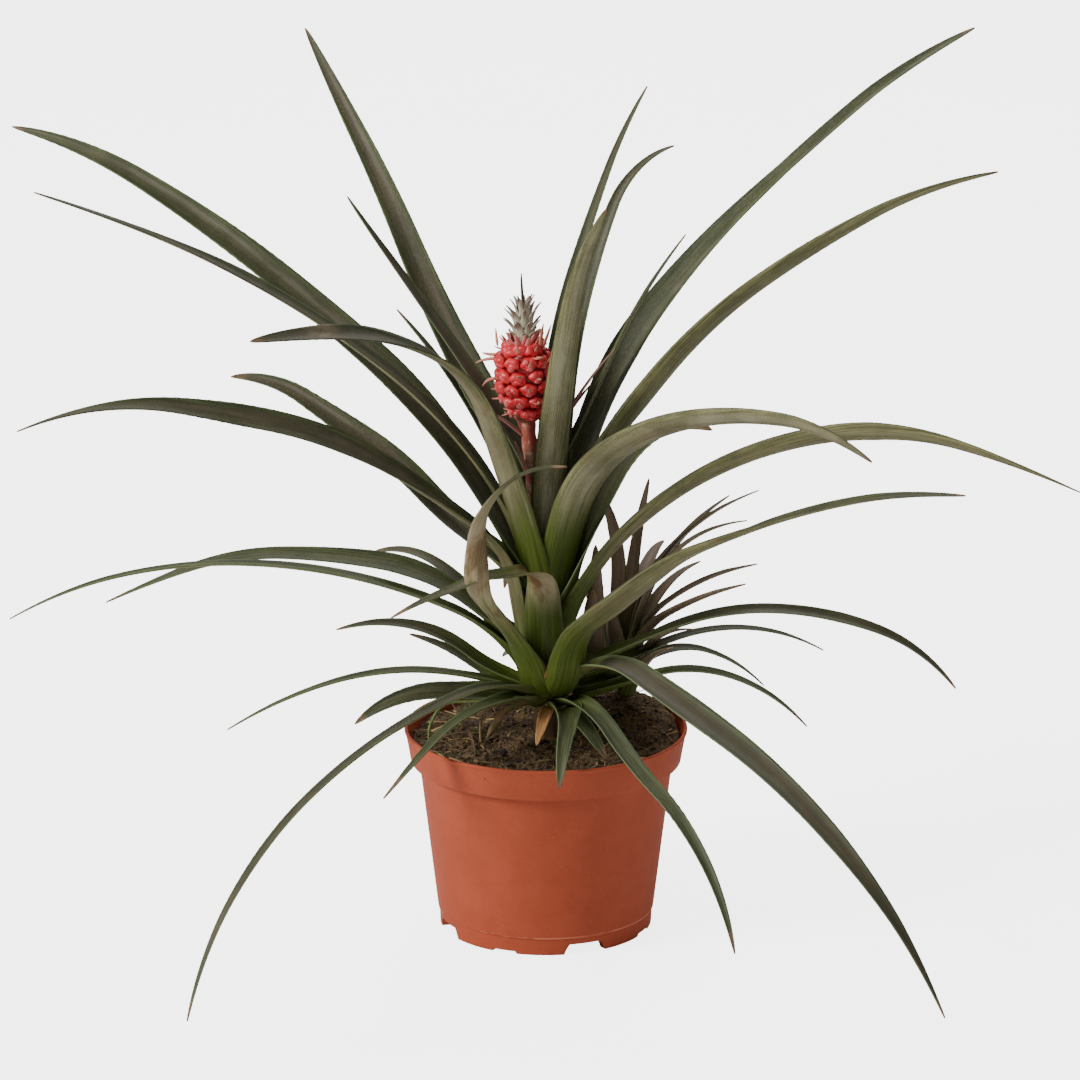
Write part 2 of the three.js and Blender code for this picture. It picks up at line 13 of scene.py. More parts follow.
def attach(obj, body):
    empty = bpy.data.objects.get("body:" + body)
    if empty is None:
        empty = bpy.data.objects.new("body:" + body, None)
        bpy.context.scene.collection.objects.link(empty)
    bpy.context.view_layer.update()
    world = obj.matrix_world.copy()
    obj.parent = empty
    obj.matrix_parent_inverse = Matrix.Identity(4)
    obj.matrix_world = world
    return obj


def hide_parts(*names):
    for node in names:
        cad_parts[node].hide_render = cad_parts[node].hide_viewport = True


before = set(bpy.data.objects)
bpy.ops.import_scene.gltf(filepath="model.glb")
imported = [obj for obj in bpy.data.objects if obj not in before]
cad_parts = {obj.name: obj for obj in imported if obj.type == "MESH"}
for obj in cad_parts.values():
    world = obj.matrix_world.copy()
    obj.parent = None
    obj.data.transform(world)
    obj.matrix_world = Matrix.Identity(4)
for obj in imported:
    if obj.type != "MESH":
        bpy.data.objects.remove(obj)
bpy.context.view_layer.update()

MM = 0.001

# ------------------------------------------------------------------- sizes, shared with the solids

RIM_RADIUS = 60
RIM_HEIGHT = 87
SKIRT_HEIGHT = 14
SKIRT_RADIUS = 57.4
BODY_TOP_RADIUS = 53.8
SEAM_HEIGHT = 7.6
SEAM_RADIUS = 45.9
FOOT_RADIUS = 45
FOOT_WIDTH = 4
WALL = 1.4
FLOOR_HEIGHT = 5
DRAIN_NOTCH = {"width": 18, "height": 4.4, "turn": -68}
AIR_NOTCH = {"width": 11, "height": 1.1, "turn": -23}
DRAIN_HOLES = 8
DRAIN_RADIUS = 3.5
DRAIN_CIRCLE = 33
INNER_LEDGE = RIM_HEIGHT - SKIRT_HEIGHT + WALL
FLOOR_TOP = FLOOR_HEIGHT + WALL

SOIL_LEVEL = 81.5
SOIL_LUMPS = 0.8
SOIL_HEAP = {"x": 3, "y": 2, "height": 5, "spread": 14}
SOIL_MOUND = {"x": 33, "y": 25, "height": 11, "spread": 17}

STEM = {"foot": (4, 0, 72), "top": (-1.5, 0, 163), "foot_radius": 9.5, "top_radius": 3.8}
OFFSET = {"foot": (33, 20, 84), "top": (33, 20, 112), "foot_radius": 6.5, "top_radius": 3.5}
STALK_RADIUS = 3.2
STALK_PATH = [(-1.5, 0, 163.3), (-3.5, 0, 180), (-5.8, 0, 200), (-7.8, 0, 223.2)]
FRUIT = {"x": -7.9, "foot": 223.5, "height": 33, "radius": 11.6, "tilt": -3.5}
BERRY_ROWS = 6
BERRIES_A_ROW = 9
# The crown's tiers of scales: how many, how far out and how high each one's foot and tip are, width.
CROWN_SHIFT = 1
CROWN_TIERS = [
    (9, 3.4, 0.2, 6.8, 4.6, 2.5), (9, 3.6, 1.6, 8.6, 9.6, 2.5), (8, 3.2, 5.4, 8.0, 14.6, 2.4),
    (7, 2.4, 9.4, 5.3, 18.4, 2.1), (6, 1.3, 12.0, 2.2, 18.6, 1.6),
]
GOLDEN_TURN = 137.5
GAP = 0.3
BLADE_RIB = 1
CHANNEL = 0.2
SHEATH_SHARE = 0.45

# Sizes of the finished pieces alone.
FOOT_FLARE = 0.22        # how much wider a clasping foot is, as a share of its leaf's width
CLASP_BOW = 78           # degrees that it curls each way round the stem
TOOTH_EVERY = 3          # stations from one tooth of a leaf's edge to the next
PEAT_LIFT = 0.3          # the dressed peat stands this far above the solid's
PEAT_CELLS = 120         # grid cells across the peat's top
LITTER_FROM_STEM = 10    # the nearest that small litter lies to the stem's middle
LITTER_FROM_RIM = 2.5    # and to the pot's wall
STALK_RED_FROM = 214     # the stalk is reddish above this height
STALK_BROWN_TO = 202     # and brown below this one
STEM_GREEN_FROM = 112
STEM_BROWN_TO = 96


def leaf(root, heading, lean, roll, length, width, sheath=0):
    """A leaf's lists of stations from root to tip: see path and turn below."""
    return {"root": root, "heading": heading, "lean": lean, "roll": roll,
            "length": length, "width": width, "sheath": sheath}


LEAVES = {
    "inner_1": leaf(158, [138], [112, 45, 53, 59, 53, 53], [0, 29, 47, 60], 255, 14),
    "inner_2": leaf(152, [150], [112, 53, 47, 50], [0, 10, 10, -5], 188, 9),
    "inner_3": leaf(154, [146], [78, 63, 49, 38], [0], 128, 6),
    "inner_4": leaf(160, [62, 55], [100, 88, 74, 57, 53, 38], [0, -8, -5, 10], 214, 6.5),
    "inner_5": leaf(155, [43, 35], [78.6, 89.3, 81.3, 71.3, 62.7, 5], [0, -20, -28, -18], 198, 9),
    "inner_6": leaf(150, [8], [112, 65, 65, 52], [0, 0, 7], 165, 9),
    "inner_7": leaf(150, [285, 300], [96, 74, 71, 49], [0, 12, 21, 26], 190, 13.5),
    "upper_1": leaf(152, [25, 20], [81, 72, 49, 39, 36, 21], [0, -21, 3, -22], 306, 16),
    "upper_2": leaf(146, [350, 345], [98, 57, 52, 38, 31, 14], [0, 36, 42, 42], 283, 14),
    "upper_3": leaf(149, [166], [66, 55.5, 40, 35.5, 29, 8.5], [0, 30, 56, 75], 301.5, 15),
    "upper_4": leaf(146, [184], [84, 57, 41, 32.5, 24, 19], [0, 8, 10, -4], 285, 12),
    "upper_5": leaf(140, [225, 215], [86, 69.5, 67, 30, 11, -1], [0, 2, 14, 50], 232, 17),
    "upper_6": leaf(140, [305, 328], [85, 67, 34.5, 18, 3, -29], [0, 22, 34, 50, 60], 230, 17.2),
    "upper_7": leaf(143, [172], [63, 36, 48, 34, 33, -6], [0, 30, 62, 72], 162, 13),
    "upper_8": leaf(134, [350], [77, 78, 65, 62, 32, -25], [0, -35, -55, -50], 121, 15),
    "middle_1": leaf(114, [198],
        [74, 82, 39, 37, 27, 16, 12, -3, -19], [0, 0, 8, 36, 44, 20, -14], 285, 15),
    "middle_2": leaf(142, [186], [73, 48, 40, 38], [0, 24], 75, 8),
    "middle_3": leaf(126, [336, 347], [76, 48, 31, 13, -13, -22], [0, 22, 64, 20], 271, 14.2),
    "middle_4": leaf(104, [285, 290, 312, 318, 322, 325, 328, 328, 328, 328, 328],
        [24, 71, 37, 40, 39, 28, 26, 22, 18, 11.5, 5.5], [0, 0, 20, 20, 10, 0, -5, -7, -7], 259, 15.2),
    "middle_5": leaf(103, [245, 226, 220, 218, 230, 262, 300, 325, 340, 346, 350],
        [31, 70, 60, 48, 47, 77, 87, 61, 48, 21, -2], [0], 152, 12, 0.5),
    "middle_6": leaf(106, [262, 255, 252, 256, 258, 240, 205, 198, 196, 194, 192, 190],
        [55, 73, 82, 85, 88, 40, -4, 1, -22, -16, -23, -30], [0], 128, 13.5, 0.4),
    "middle_7": leaf(118, [180], [49, 37.5, 8.5, 1, -19, -26], [0, 26, 20, 0], 197, 11.4),
    "middle_8": leaf(122, [158], [11, 53, 26, -20], [0, 20], 84, 9),
    "middle_9": leaf(106, [190, 188], [68, 27, 15, 3, -11, -29], [0, 0, -4, -10], 243.5, 9.6),
    "lower_1": leaf(105, [312], [57, -14, -16, -27, -39, -55], [0, -16, -18, 28], 267, 12.6),
    "lower_2": leaf(100, [300], [25, -27, -16, -38, -69], [0, -20, -30], 167, 7),
    "lower_3": leaf(98, [290, 270, 262, 260], [18, 5, -22, -68], [0], 71, 9),
    "lower_4": leaf(97, [299], [10, -20, -35], [0, -18, -34], 41, 7),
    "lower_5": leaf(99, [262, 255], [0, -20, -35], [0], 28, 5.5),
    "lower_6": leaf(99, [225, 222], [27, -4, -32, -35], [0, -10, -24], 96, 9),
    "lower_7": leaf(102, [234, 230], [35, 0, -9, -22, -43, -72], [0, -13, -20, -16], 270, 8),
    "lower_8": leaf(99, [190], [16, 3, -42], [0, 43, 70], 79, 9),
    "lower_9": leaf(102, [200, 197], [29, 10, -12, -28], [0, 0, -13], 140, 7),
    "lower_10": leaf(104, [176], [20, 41, 7, -19], [0, 29, 14], 90, 7.4),
    "lower_11": leaf(101, [160], [13, 30, 7], [0, 17, 33], 59, 5.5),
    "lower_12": leaf(110, [4, 6], [28, 22, -3, -22, -55], [0, 0, -30, -37], 182, 8.4),
    "lower_13": leaf(107, [14], [14, 22, -6, -33], [0], 117, 7),
    "lower_14": leaf(102, [24], [1, 27, -23, -48], [0, -8, -16], 100, 7),
    "lower_15": leaf(99, [346], [25, 21, -16, -47], [0, -6, 3], 111, 7),
    "back_1": leaf(142, [86], [62, 28, 4, -20], [0], 190, 12),
    "back_2": leaf(134, [98], [56, 24, -2, -28], [0], 208, 12),
    "back_3": leaf(128, [84], [52, 22, -4, -38], [0], 204, 12),
    "back_4": leaf(114, [98], [42, 12, -20, -50], [0], 150, 10),
    "back_5": leaf(108, [88], [36, 4, -30, -55], [0], 130, 10),
    "back_6": leaf(100, [104], [12, -4, -30], [0], 80, 8),
}
DRIED_LEAF = "lower_5"

SHOOT_LEAVES = [
    leaf(107, [60], [90, 63], [0], 81, 7),
    leaf(108, [130], [84, 92, 54], [0], 76, 10),
    leaf(100, [200, 250, 270], [30, 84, 88], [0], 50, 13),
    leaf(106, [8], [98, 51.5, 17.5], [0, 20], 103, 10.5),
    leaf(104.5, [28], [88, 24], [0, 15], 91, 9),
    leaf(104, [350], [92, 59.5, 8], [0, 20], 95, 9),
    leaf(102, [45], [84, 3.3], [0, 10], 66, 8),
    leaf(101, [356], [96, 37, 11], [0, 25], 83, 11),
    leaf(99, [336], [94, 34, 19], [0, 25], 80, 11),
    leaf(104, [75], [70, -10], [0], 84, 8),
    leaf(97, [328], [88, 4], [0, 20], 50, 7.5),
    leaf(95, [305], [68, 18], [0], 46, 7.5),
    leaf(98, [110], [60, 5], [0], 60, 8),
    leaf(100, [240], [82, 74], [0], 38, 10),
    leaf(104, [190, 240, 268, 270], [40, 80, 91, 100], [0], 62, 9.5),
]
BRACTS = [
    leaf(200, [5], [66, 50], [0], 62, 4),
    leaf(204, [20], [55, 48], [0], 40, 3.5),
    leaf(214, [175], [45, 25], [0], 21, 4),
    leaf(212, [120], [60, 40], [0], 24, 4),
    leaf(190, [215], [74, 66], [0], 26, 4),
]

# How each leaf has aged, 0 to 1: purple on its upper side, brown stains, silvery bloom (which also sets the
# band
# # of painted sheen on its upper side), how much of its foot is still fresh green, and the length of its dry
# tip in millimetres.
LOOKS = {
    "inner_1": (0.8, 0.1, 0.6, 0.1, 3), "inner_2": (1.0, 0.2, 0.3, 0.1, 4),
    "inner_3": (0.7, 0.1, 0.3, 0.1, 6), "inner_4": (0.6, 0.1, 0.3, 0.1, 4),
    "inner_5": (0.8, 0.3, 0.7, 0.1, 4), "inner_6": (0.9, 0.5, 0.5, 0.1, 5),
    "inner_7": (0.4, 0.6, 0.7, 0.1, 4), "upper_1": (0.4, 0.1, 0.7, 0.1, 5),
    "upper_2": (0.3, 0.5, 0.2, 0.15, 5), "upper_3": (0.6, 0.1, 0.6, 0.1, 5),
    "upper_4": (0.8, 0.5, 0.4, 0.1, 5), "upper_5": (0.9, 0.6, 0.4, 0.3, 6),
    "upper_6": (0.8, 0.6, 0.8, 0.3, 5), "upper_7": (1.0, 0.1, 0.8, 0.1, 6),
    "upper_8": (0.5, 0.1, 0.1, 0.1, 6), "middle_1": (0.8, 0.7, 0.3, 0.1, 6),
    "middle_2": (0.4, 0.2, 0.2, 0.1, 5), "middle_3": (0.4, 0.6, 0.2, 0.2, 6),
    "middle_4": (0.5, 0.7, 0.2, 0.35, 5), "middle_5": (0.3, 1.0, 0.3, 0.3, 6),
    "middle_6": (1.0, 0.4, 0.6, 0.5, 8), "middle_7": (0.3, 0.4, 0.3, 0.15, 8),
    "middle_8": (0.9, 0.3, 0.6, 0.1, 5), "middle_9": (0.4, 0.3, 0.3, 0.2, 6),
    "lower_1": (1.0, 0.2, 0.06, 0.05, 8), "lower_2": (0.3, 0.2, 0.05, 0.0, 9),
    "lower_3": (0.25, 0.2, 0.05, 0.0, 3), "lower_4": (0.1, 0.2, 0.0, 0.05, 7),
    "lower_5": (0.2, 1.0, 0.2, 0.1, 26), "lower_6": (0.35, 0.2, 0.1, 0.0, 12),
    "lower_7": (0.9, 0.2, 0.25, 0.05, 8), "lower_8": (0.5, 0.2, 0.2, 0.05, 5),
    "lower_9": (0.5, 0.3, 0.2, 0.05, 7), "lower_10": (0.7, 0.2, 0.3, 0.15, 5),
    "lower_11": (0.8, 0.5, 0.3, 0.1, 6), "lower_12": (0.8, 0.2, 0.3, 0.2, 8),
    "lower_13": (0.8, 0.3, 0.3, 0.15, 8), "lower_14": (0.7, 0.3, 0.3, 0.15, 8),
    "lower_15": (0.5, 0.3, 0.3, 0.2, 8),
}
PLAIN_LOOK = (0.6, 0.3, 0.3, 0.15, 6)

# Leaves with a dry, creased stretch: its middle and half length in millimetres, and how dry it is.
NO_FOLD = (0, 1, 0)
FOLDS = {"middle_6": (56, 20, 1.0), "middle_5": (84, 46, 0.75), "upper_5": (196, 14, 0.5)}

# Dried petals that stand out from the fruit: degrees round it, how far out, how high, length, lean, curl.
LONG_PETALS = [
    (180, 10.4, 31.5, 7.5, 82, 14), (172, 11.4, 27, 6.0, -8, 40), (186, 11.6, 26, 8.5, 4, -18),
    (184, 11.2, 17, 7.5, 16, -70), (336, 8.6, 31, 10.0, 84, -6), (344, 9.2, 30.5, 10.5, 66, 6),
    (300, 10.0, 27.5, 7.0, -4, 40), (262, 11.6, 20, 4.5, 10, 30), (290, 11.6, 9, 5.0, -20, 60),
]

# The larger bits that lie on the peat: the points each passes through, its narrow end last.
CURLED_BLADE = [(-19.3, -10, 102), (-33.2, -10, 101.2), (-40, -10, 100.7), (-43.7, -10, 99),
                (-46.7, -10, 95.5), (-49.2, -10, 89.3), (-49.6, -10, 82)]
DRYING_LEAF = [(-7, -16, 104.5), (-16.8, -22, 101.4), (-20, -25, 97.9), (-24.8, -26, 90)]
TWIG = [(-29.9, -28, 83.5), (-31.1, -12, 84.5), (-34, 0, 86.6), (-40.8, 12, 94.5)]
UPRIGHT_STRAW = [(-27.5, -10, 81), (-27.8, -10, 87), (-27.7, -10, 93)]

# The studio, in metres: each soft light's name, place, size and power in watts, and the camera.
LIGHTS = [
    ("key_left", (-1.95, -1.0, 1.5), 0.9, 70), ("fill_right", (1.7, -1.0, 0.9), 1.2, 0.5),
    ("top_back", (0.3, 1.3, 1.8), 1.2, 20),
]
LIGHTS_AIM = Vector((0, 0, 0.15))
SKY_STRENGTH = 0.36
CAMERA_AIM = Vector((-0.0025, 0, 0.1694))
CAMERA_AWAY = 3.0
CAMERA_RISE = math.radians(17)
CAMERA_LENS = 237.8


def blended(low, high, share):
    """A value part of the way from low to high."""
    return low + (high - low) * share


# ---------------------------------------------------------------------------- shader building


def fed(socket, value):
    """Link another socket to this one, or set its own value."""
    if isinstance(value, bpy.types.NodeSocket):
        socket.id_data.links.new(value, socket)
    else:
        socket.default_value = value


def node(tree, kind, inputs=None, **settings):
    """Add a shader node, set its options, and feed or set the sockets named in inputs."""
    made = tree.nodes.new("ShaderNode" + kind)
    for name, value in settings.items():
        setattr(made, name, value)
    for socket, value in (inputs or {}).items():
        fed(made.inputs[socket], value)
    return made


def tree_of(*values):
    """The node tree of the first socket among some values."""
    return next(value.id_data for value in values if isinstance(value, bpy.types.NodeSocket))


def maths(operation, a, b=0.0, c=0.0, clamp=False):
    """One sum on values."""
    return node(tree_of(a, b, c), "Math", {0: a, 1: b, 2: c}, operation=operation, use_clamp=clamp).outputs[0]


def times(a, b):
    """One value times another."""
    return maths("MULTIPLY", a, b)


def scaled(value, by, plus, clamp=False):
    """A value times another, and a third added."""
    return maths("MULTIPLY_ADD", value, by, plus, clamp)


def apart(a, b):
    """How far two values are apart."""
    return maths("ABSOLUTE", maths("SUBTRACT", a, b))


def mixed(amount, first, second):
    """Two colours mixed by an amount."""
    tree = tree_of(amount, first, second)
    made = node(tree, "Mix", {0: amount, 6: first, 7: second}, data_type="RGBA", clamp_factor=True)
    return made.outputs[2]


def rise(value, low, high):
    """A soft-ended mask that goes from 0 at low to 1 at high."""
    return node(value.id_data, "MapRange", {"Value": value, "From Min": low, "From Max": high},
                interpolation_type="SMOOTHSTEP").outputs[0]


def noise(vector, scale, detail=3.0, rough=0.55, distort=0.0):
    """A cloudy value, 0 to 1."""
    return node(vector.id_data, "TexNoise", {"Vector": vector, "Scale": scale, "Detail": detail,
                                             "Roughness": rough, "Distortion": distort}).outputs[0]


def stretched(vector, scale):
    """A pattern's coordinates, drawn out by the three numbers of scale."""
    return node(vector.id_data, "Mapping", {"Vector": vector, "Scale": scale}).outputs[0]


def paint(r, g, b):
    """A colour socket's value from a screen colour, 0 to 255."""
    def linear(c):
        c /= 255
        return c / 12.92 if c <= 0.04045 else ((c + 0.055) / 1.055) ** 2.4
    return (linear(r), linear(g), linear(b), 1.0)


def effect(name, inputs, outputs):
    """A shader node group with named sockets: returns the group, its inputs, and its end."""
    group = bpy.data.node_groups.new(name, "ShaderNodeTree")
    kinds = {"value": "NodeSocketFloat", "colour": "NodeSocketColor", "vector": "NodeSocketVector"}
    for label, kind, default in inputs:
        socket = group.interface.new_socket(label, in_out="INPUT", socket_type=kinds[kind])
        if default is not None:
            socket.default_value = default
    for label, kind in outputs:
        group.interface.new_socket(label, in_out="OUTPUT", socket_type=kinds[kind])
    return group, group.nodes.new("NodeGroupInput").outputs, group.nodes.new("NodeGroupOutput").inputs


def placed(tree, group, **inputs):
    """A node group put into a material, with its own values."""
    made = tree.nodes.new("ShaderNodeGroup")
    made.node_tree = group
    for label, value in inputs.items():
        fed(made.inputs[label.replace("_", " ")], value)
    return made.outputs


def spot_on(tree):
    """A piece's own coordinates, in metres."""
    return node(tree, "TexCoord").outputs["Object"]


def height_of(spot):
    """The height part of a piece's coordinates."""
    return node(spot.id_data, "SeparateXYZ", {0: spot}).outputs[2]


def material(name):
    """A new material: returns it, its tree and its Principled shader."""
    made = bpy.data.materials.new(name)
    made.use_nodes = True
    return made, made.node_tree, made.node_tree.nodes["Principled BSDF"]


def coated(shader, colour, roughness):
    """Feed a finish's colour and roughness to its shader."""
    fed(shader.inputs["Base Color"], colour)
    fed(shader.inputs["Roughness"], roughness)


def bumped(shader, height, distance, strength=1.0):
    """Feed a height, in metres times distance, to the shader's normal."""
    bump = node(shader.id_data, "Bump", {"Height": height, "Distance": distance, "Strength": strength})
    fed(shader.inputs["Normal"], bump.outputs[0])


# ------------------------------------------------------------------------------ shared effects


BLADE_SOCKETS = [("Across", "value", 0.0), ("Along", "value", 0.0), ("Seed", "value", 0.0)]


def blade_place(given):
    """A pattern's coordinates on a blade, in centimetres, apart from those of other blades."""
    parts = [given[name] for name, _, _ in BLADE_SOCKETS]
    return node(tree_of(*parts), "CombineXYZ", dict(enumerate(parts))).outputs[0]


def make_fibre_lines():
    """Fine lines that run the length of a leaf, broader bands with them, and soft clouds."""
    tree, given, put = effect("fibre_lines", BLADE_SOCKETS + [("Lines a cm", "value", 20.0)],
                              [("Fine", "value"), ("Broad", "value"), ("Cloud", "value")])
    place = blade_place(given)
    fine_scale = node(tree, "CombineXYZ", {0: given["Lines a cm"], 1: 0.35, 2: 1.0}).outputs[0]
    fine_place = node(tree, "VectorMath", {0: place, 1: fine_scale}, operation="MULTIPLY").outputs[0]
    fed(put["Fine"], noise(fine_place, 1.0, 4.0, 0.7))
    fed(put["Broad"], noise(stretched(place, (3.2, 0.22, 1.0)), 1.0, 2.0, 0.5))
    fed(put["Cloud"], noise(stretched(place, (0.9, 0.42, 1.0)), 1.0, 4.0, 0.6, 0.4))
    return tree


def make_stains():
    """Soft brown patches drawn out along a leaf, small hard specks, and a dust of fine dots."""
    tree, given, put = effect("stains", BLADE_SOCKETS + [("Amount", "value", 0.3)],
                              [("Patches", "value"), ("Specks", "value"), ("Dust", "value")])
    place = blade_place(given)
    patch = noise(stretched(place, (1.4, 0.8, 1.0)), 1.0, 6.0, 0.72, 0.9)
    low = scaled(given["Amount"], -0.2, 0.7)
    fed(put["Patches"], rise(patch, low, maths("ADD", low, 0.12)))
    speck = noise(stretched(place, (7.0, 4.0, 1.0)), 1.0, 3.0, 0.6)
    low = scaled(given["Amount"], -0.07, 0.74)
    fed(put["Specks"], rise(speck, low, maths("ADD", low, 0.04)))
    dust = noise(stretched(place, (26.0, 12.0, 1.0)), 1.0, 2.0, 0.7)
    fed(put["Dust"], rise(dust, 0.5, 0.72))
    return tree


def make_grit():
    """Fine unevenness for plastic, peat and bark: a grain of the given size, and a broad mottle."""
    tree, given, put = effect("grit", [("Vector", "vector", None), ("Size", "value", 800.0)],
                              [("Grain", "value"), ("Mottle", "value")])
    fed(put["Grain"], noise(given["Vector"], given["Size"], 3.0, 0.6))
    fed(put["Mottle"], noise(given["Vector"], 60.0, 4.0, 0.6))
    return tree


FIBRE_LINES = make_fibre_lines()
STAINS = make_stains()
GRIT = make_grit()

# ---------------------------------------------------------------------------------- materials


def leaf_reading(tree):
    """What a leaf's surface carries: its place on the blade and its age."""
    on = {}
    for attribute, labels in (("place", ("across", "share", "tip")), ("habit", ("purple", "stain", "pale")),
                              ("growth", ("seed", "fresh", "dry"))):
        carried = node(tree, "Attribute", attribute_name=attribute).outputs["Vector"]
        on.update(zip(labels, node(tree, "SeparateXYZ", {0: carried}).outputs))
    on["fold"] = node(tree, "Attribute", attribute_name="fold").outputs["Fac"]
    uv = node(tree, "UVMap", uv_map="leaf").outputs[0]
    on.update(zip(("sideways", "lengthways"), node(tree, "SeparateXYZ", {0: uv}).outputs))
    return on


def fibres(on, lines_a_cm=20.0):
    """The lines of a blade's own fibres."""
    return placed(on["seed"].id_data, FIBRE_LINES, Across=on["sideways"], Along=on["lengthways"],
                  Seed=on["seed"], Lines_a_cm=lines_a_cm)


def weathered(on, lines, stain_amount, colour, deep, bloom_and_sheen_colour):
    """A dust of bloom, dark clouds, brown patches and dark specks."""
    stains = placed(on["seed"].id_data, STAINS, Across=on["sideways"], Along=on["lengthways"],
                    Seed=on["seed"], Amount=times(on["stain"], stain_amount))
    dusty = times(stains["Dust"], times(on["pale"], 0.7))
    colour = mixed(dusty, colour, bloom_and_sheen_colour)
    cloudy = rise(lines["Cloud"], 0.38, 0.66)
    colour = mixed(times(cloudy, 0.42), colour, deep)
    colour = mixed(times(stains["Patches"], 0.6), colour, paint(112, 84, 52))
    return mixed(times(stains["Specks"], 0.7), colour, paint(58, 40, 26))


def green_footed(on, lines, fine, colour):
    """The fresh green foot, which ends in a ragged line."""
    ragged = scaled(lines["Broad"], 3.0, on["lengthways"])
    foot = rise(maths("SUBTRACT", ragged, scaled(on["fresh"], 12.0, 2.0)), 2.6, -1.2)
    return mixed(foot, colour, mixed(fine, paint(56, 70, 10), paint(88, 101, 26)))


def edged(on, lines, fine, colour, off):
    """Rust along the foot's edges on much-stained leaves, and a thin margin: light, or brown if stained."""
    near_edge = rise(scaled(lines["Cloud"], 0.7, off), 1.08, 1.3)
    near_foot = rise(scaled(lines["Broad"], 3.0, on["lengthways"]), 4.4, 3.0)
    much_stained = rise(on["stain"], 0.62, 0.68)
    rust = times(times(near_edge, near_foot), much_stained)
    colour = mixed(rust, colour, mixed(fine, paint(84, 46, 22), paint(142, 88, 46)))
    margin = mixed(rise(on["stain"], 0.3, 0.5), paint(116, 130, 88), paint(64, 50, 34))
    return mixed(times(rise(off, 0.93, 1.0), 0.5), colour, margin)


def leaf_finish(name, deep, light, tint, bloom_and_sheen_colour, streak_at, streak_width, stain_amount, roughness):
    """One side of a leaf: deep and light green lines, a tint in the middle, a lengthwise band of silvery
    bloom that on the upper sides is painted sheen too, stains, a fresh green foot, a thin margin, a dry
    creased stretch and a dry tip."""
    made, tree, shader = material(name)
    on = leaf_reading(tree)
    lines = fibres(on)
    off = maths("ABSOLUTE", on["across"])
    fine = rise(lines["Fine"], 0.32, 0.7)
    middle = rise(scaled(lines["Broad"], 0.5, off), 1.15, 0.75)
    shade = mixed(fine, tint, [blended(a, b, 0.35) for a, b in zip(tint, light)])
    colour = mixed(times(middle, on["purple"]), mixed(fine, deep, light), shade)
    # A lengthwise band of the bloom colour. On the under sides it is silvery bloom. On the upper sides it is
    # silvery bloom and painted sheen together, standing for light glancing off the channel.
    bloom_and_sheen_band = times(rise(apart(on["across"], streak_at), streak_width, 0.0), on["pale"])
    bloom_and_sheen_band = times(bloom_and_sheen_band, rise(lines["Broad"], 0.25, 0.7))
    colour = mixed(times(bloom_and_sheen_band, 0.8), colour, bloom_and_sheen_colour)
    colour = weathered(on, lines, stain_amount, colour, deep, bloom_and_sheen_colour)
    colour = green_footed(on, lines, fine, colour)
    colour = edged(on, lines, fine, colour, off)
    creased = mixed(rise(lines["Cloud"], 0.4, 0.62), paint(188, 168, 138), paint(112, 70, 42))
    parched = times(on["fold"], rise(lines["Broad"], 0.2, 0.55))
    colour = mixed(parched, colour, mixed(times(fine, 0.4), creased, light))
    withered = rise(maths("SUBTRACT", on["tip"], on["dry"]), 2.0, -2.0)
    colour = mixed(withered, colour, mixed(fine, paint(78, 62, 46), paint(148, 122, 90)))
    dull = scaled(lines["Fine"], 0.2, roughness)
    coated(shader, colour, scaled(withered, 0.25, dull, clamp=True))
    bumped(shader, scaled(lines["Broad"], 0.6, lines["Fine"]), 0.00025, 0.5)
    shader.inputs["Specular IOR Level"].default_value = 0.36
    return made


def dried_leaf_finish():
    """A withered leaf: tan and orange-brown, with dark lines."""
    made, tree, shader = material("withered_leaf")
    on = leaf_reading(tree)
    lines = fibres(on)
    colour = mixed(rise(lines["Fine"], 0.3, 0.7), paint(176, 112, 62), paint(236, 184, 120))
    colour = mixed(rise(lines["Cloud"], 0.5, 0.75), colour, paint(84, 52, 34))
    coated(shader, colour, scaled(lines["Broad"], 0.3, 0.55))
    bumped(shader, lines["Fine"], 0.0004, 0.7)
    return made


def pot_plastic():
    """Matte terracotta plastic with a fine moulded grain, pale specks, pale patches along its seam, and a
    broken painted highlight on the seam's edge.
    """
    made, tree, shader = material("terracotta_plastic")
    spot = spot_on(tree)
    grit = placed(tree, GRIT, Vector=spot, Size=1400.0)
    colour = mixed(rise(grit["Mottle"], 0.3, 0.75), paint(164, 73, 46), paint(174, 80, 53))
    speck = rise(noise(spot, 900.0, 2.0, 0.5), 0.7, 0.78)
    colour = mixed(times(speck, 0.35), colour, paint(214, 140, 108))
    height = height_of(spot)
    # Pale patches along the seam.
    pale_seam_patches = rise(noise(stretched(spot, (1.0, 1.0, 3.0)), 420.0, 5.0, 0.7), 0.62, 0.72)
    near_seam = rise(apart(height, SEAM_HEIGHT * MM), 0.0016, 0.0)
    colour = mixed(times(pale_seam_patches, near_seam), colour, paint(232, 172, 140))
    # Painted highlight: a broken pale line where light catches the seam's edge.
    seam_highlight = rise(apart(height, (SEAM_HEIGHT + 0.2) * MM), 0.0005, 0.0002)
    broken = rise(noise(spot, 70.0, 3.0, 0.6), 0.4, 0.6)
    colour = mixed(times(seam_highlight, broken), colour, paint(206, 122, 90))
    coated(shader, colour, scaled(grit["Mottle"], 0.16, 0.58))
    shader.inputs["Specular IOR Level"].default_value = 0.2
    bumped(shader, grit["Grain"], 0.0003, 0.25)
    return made


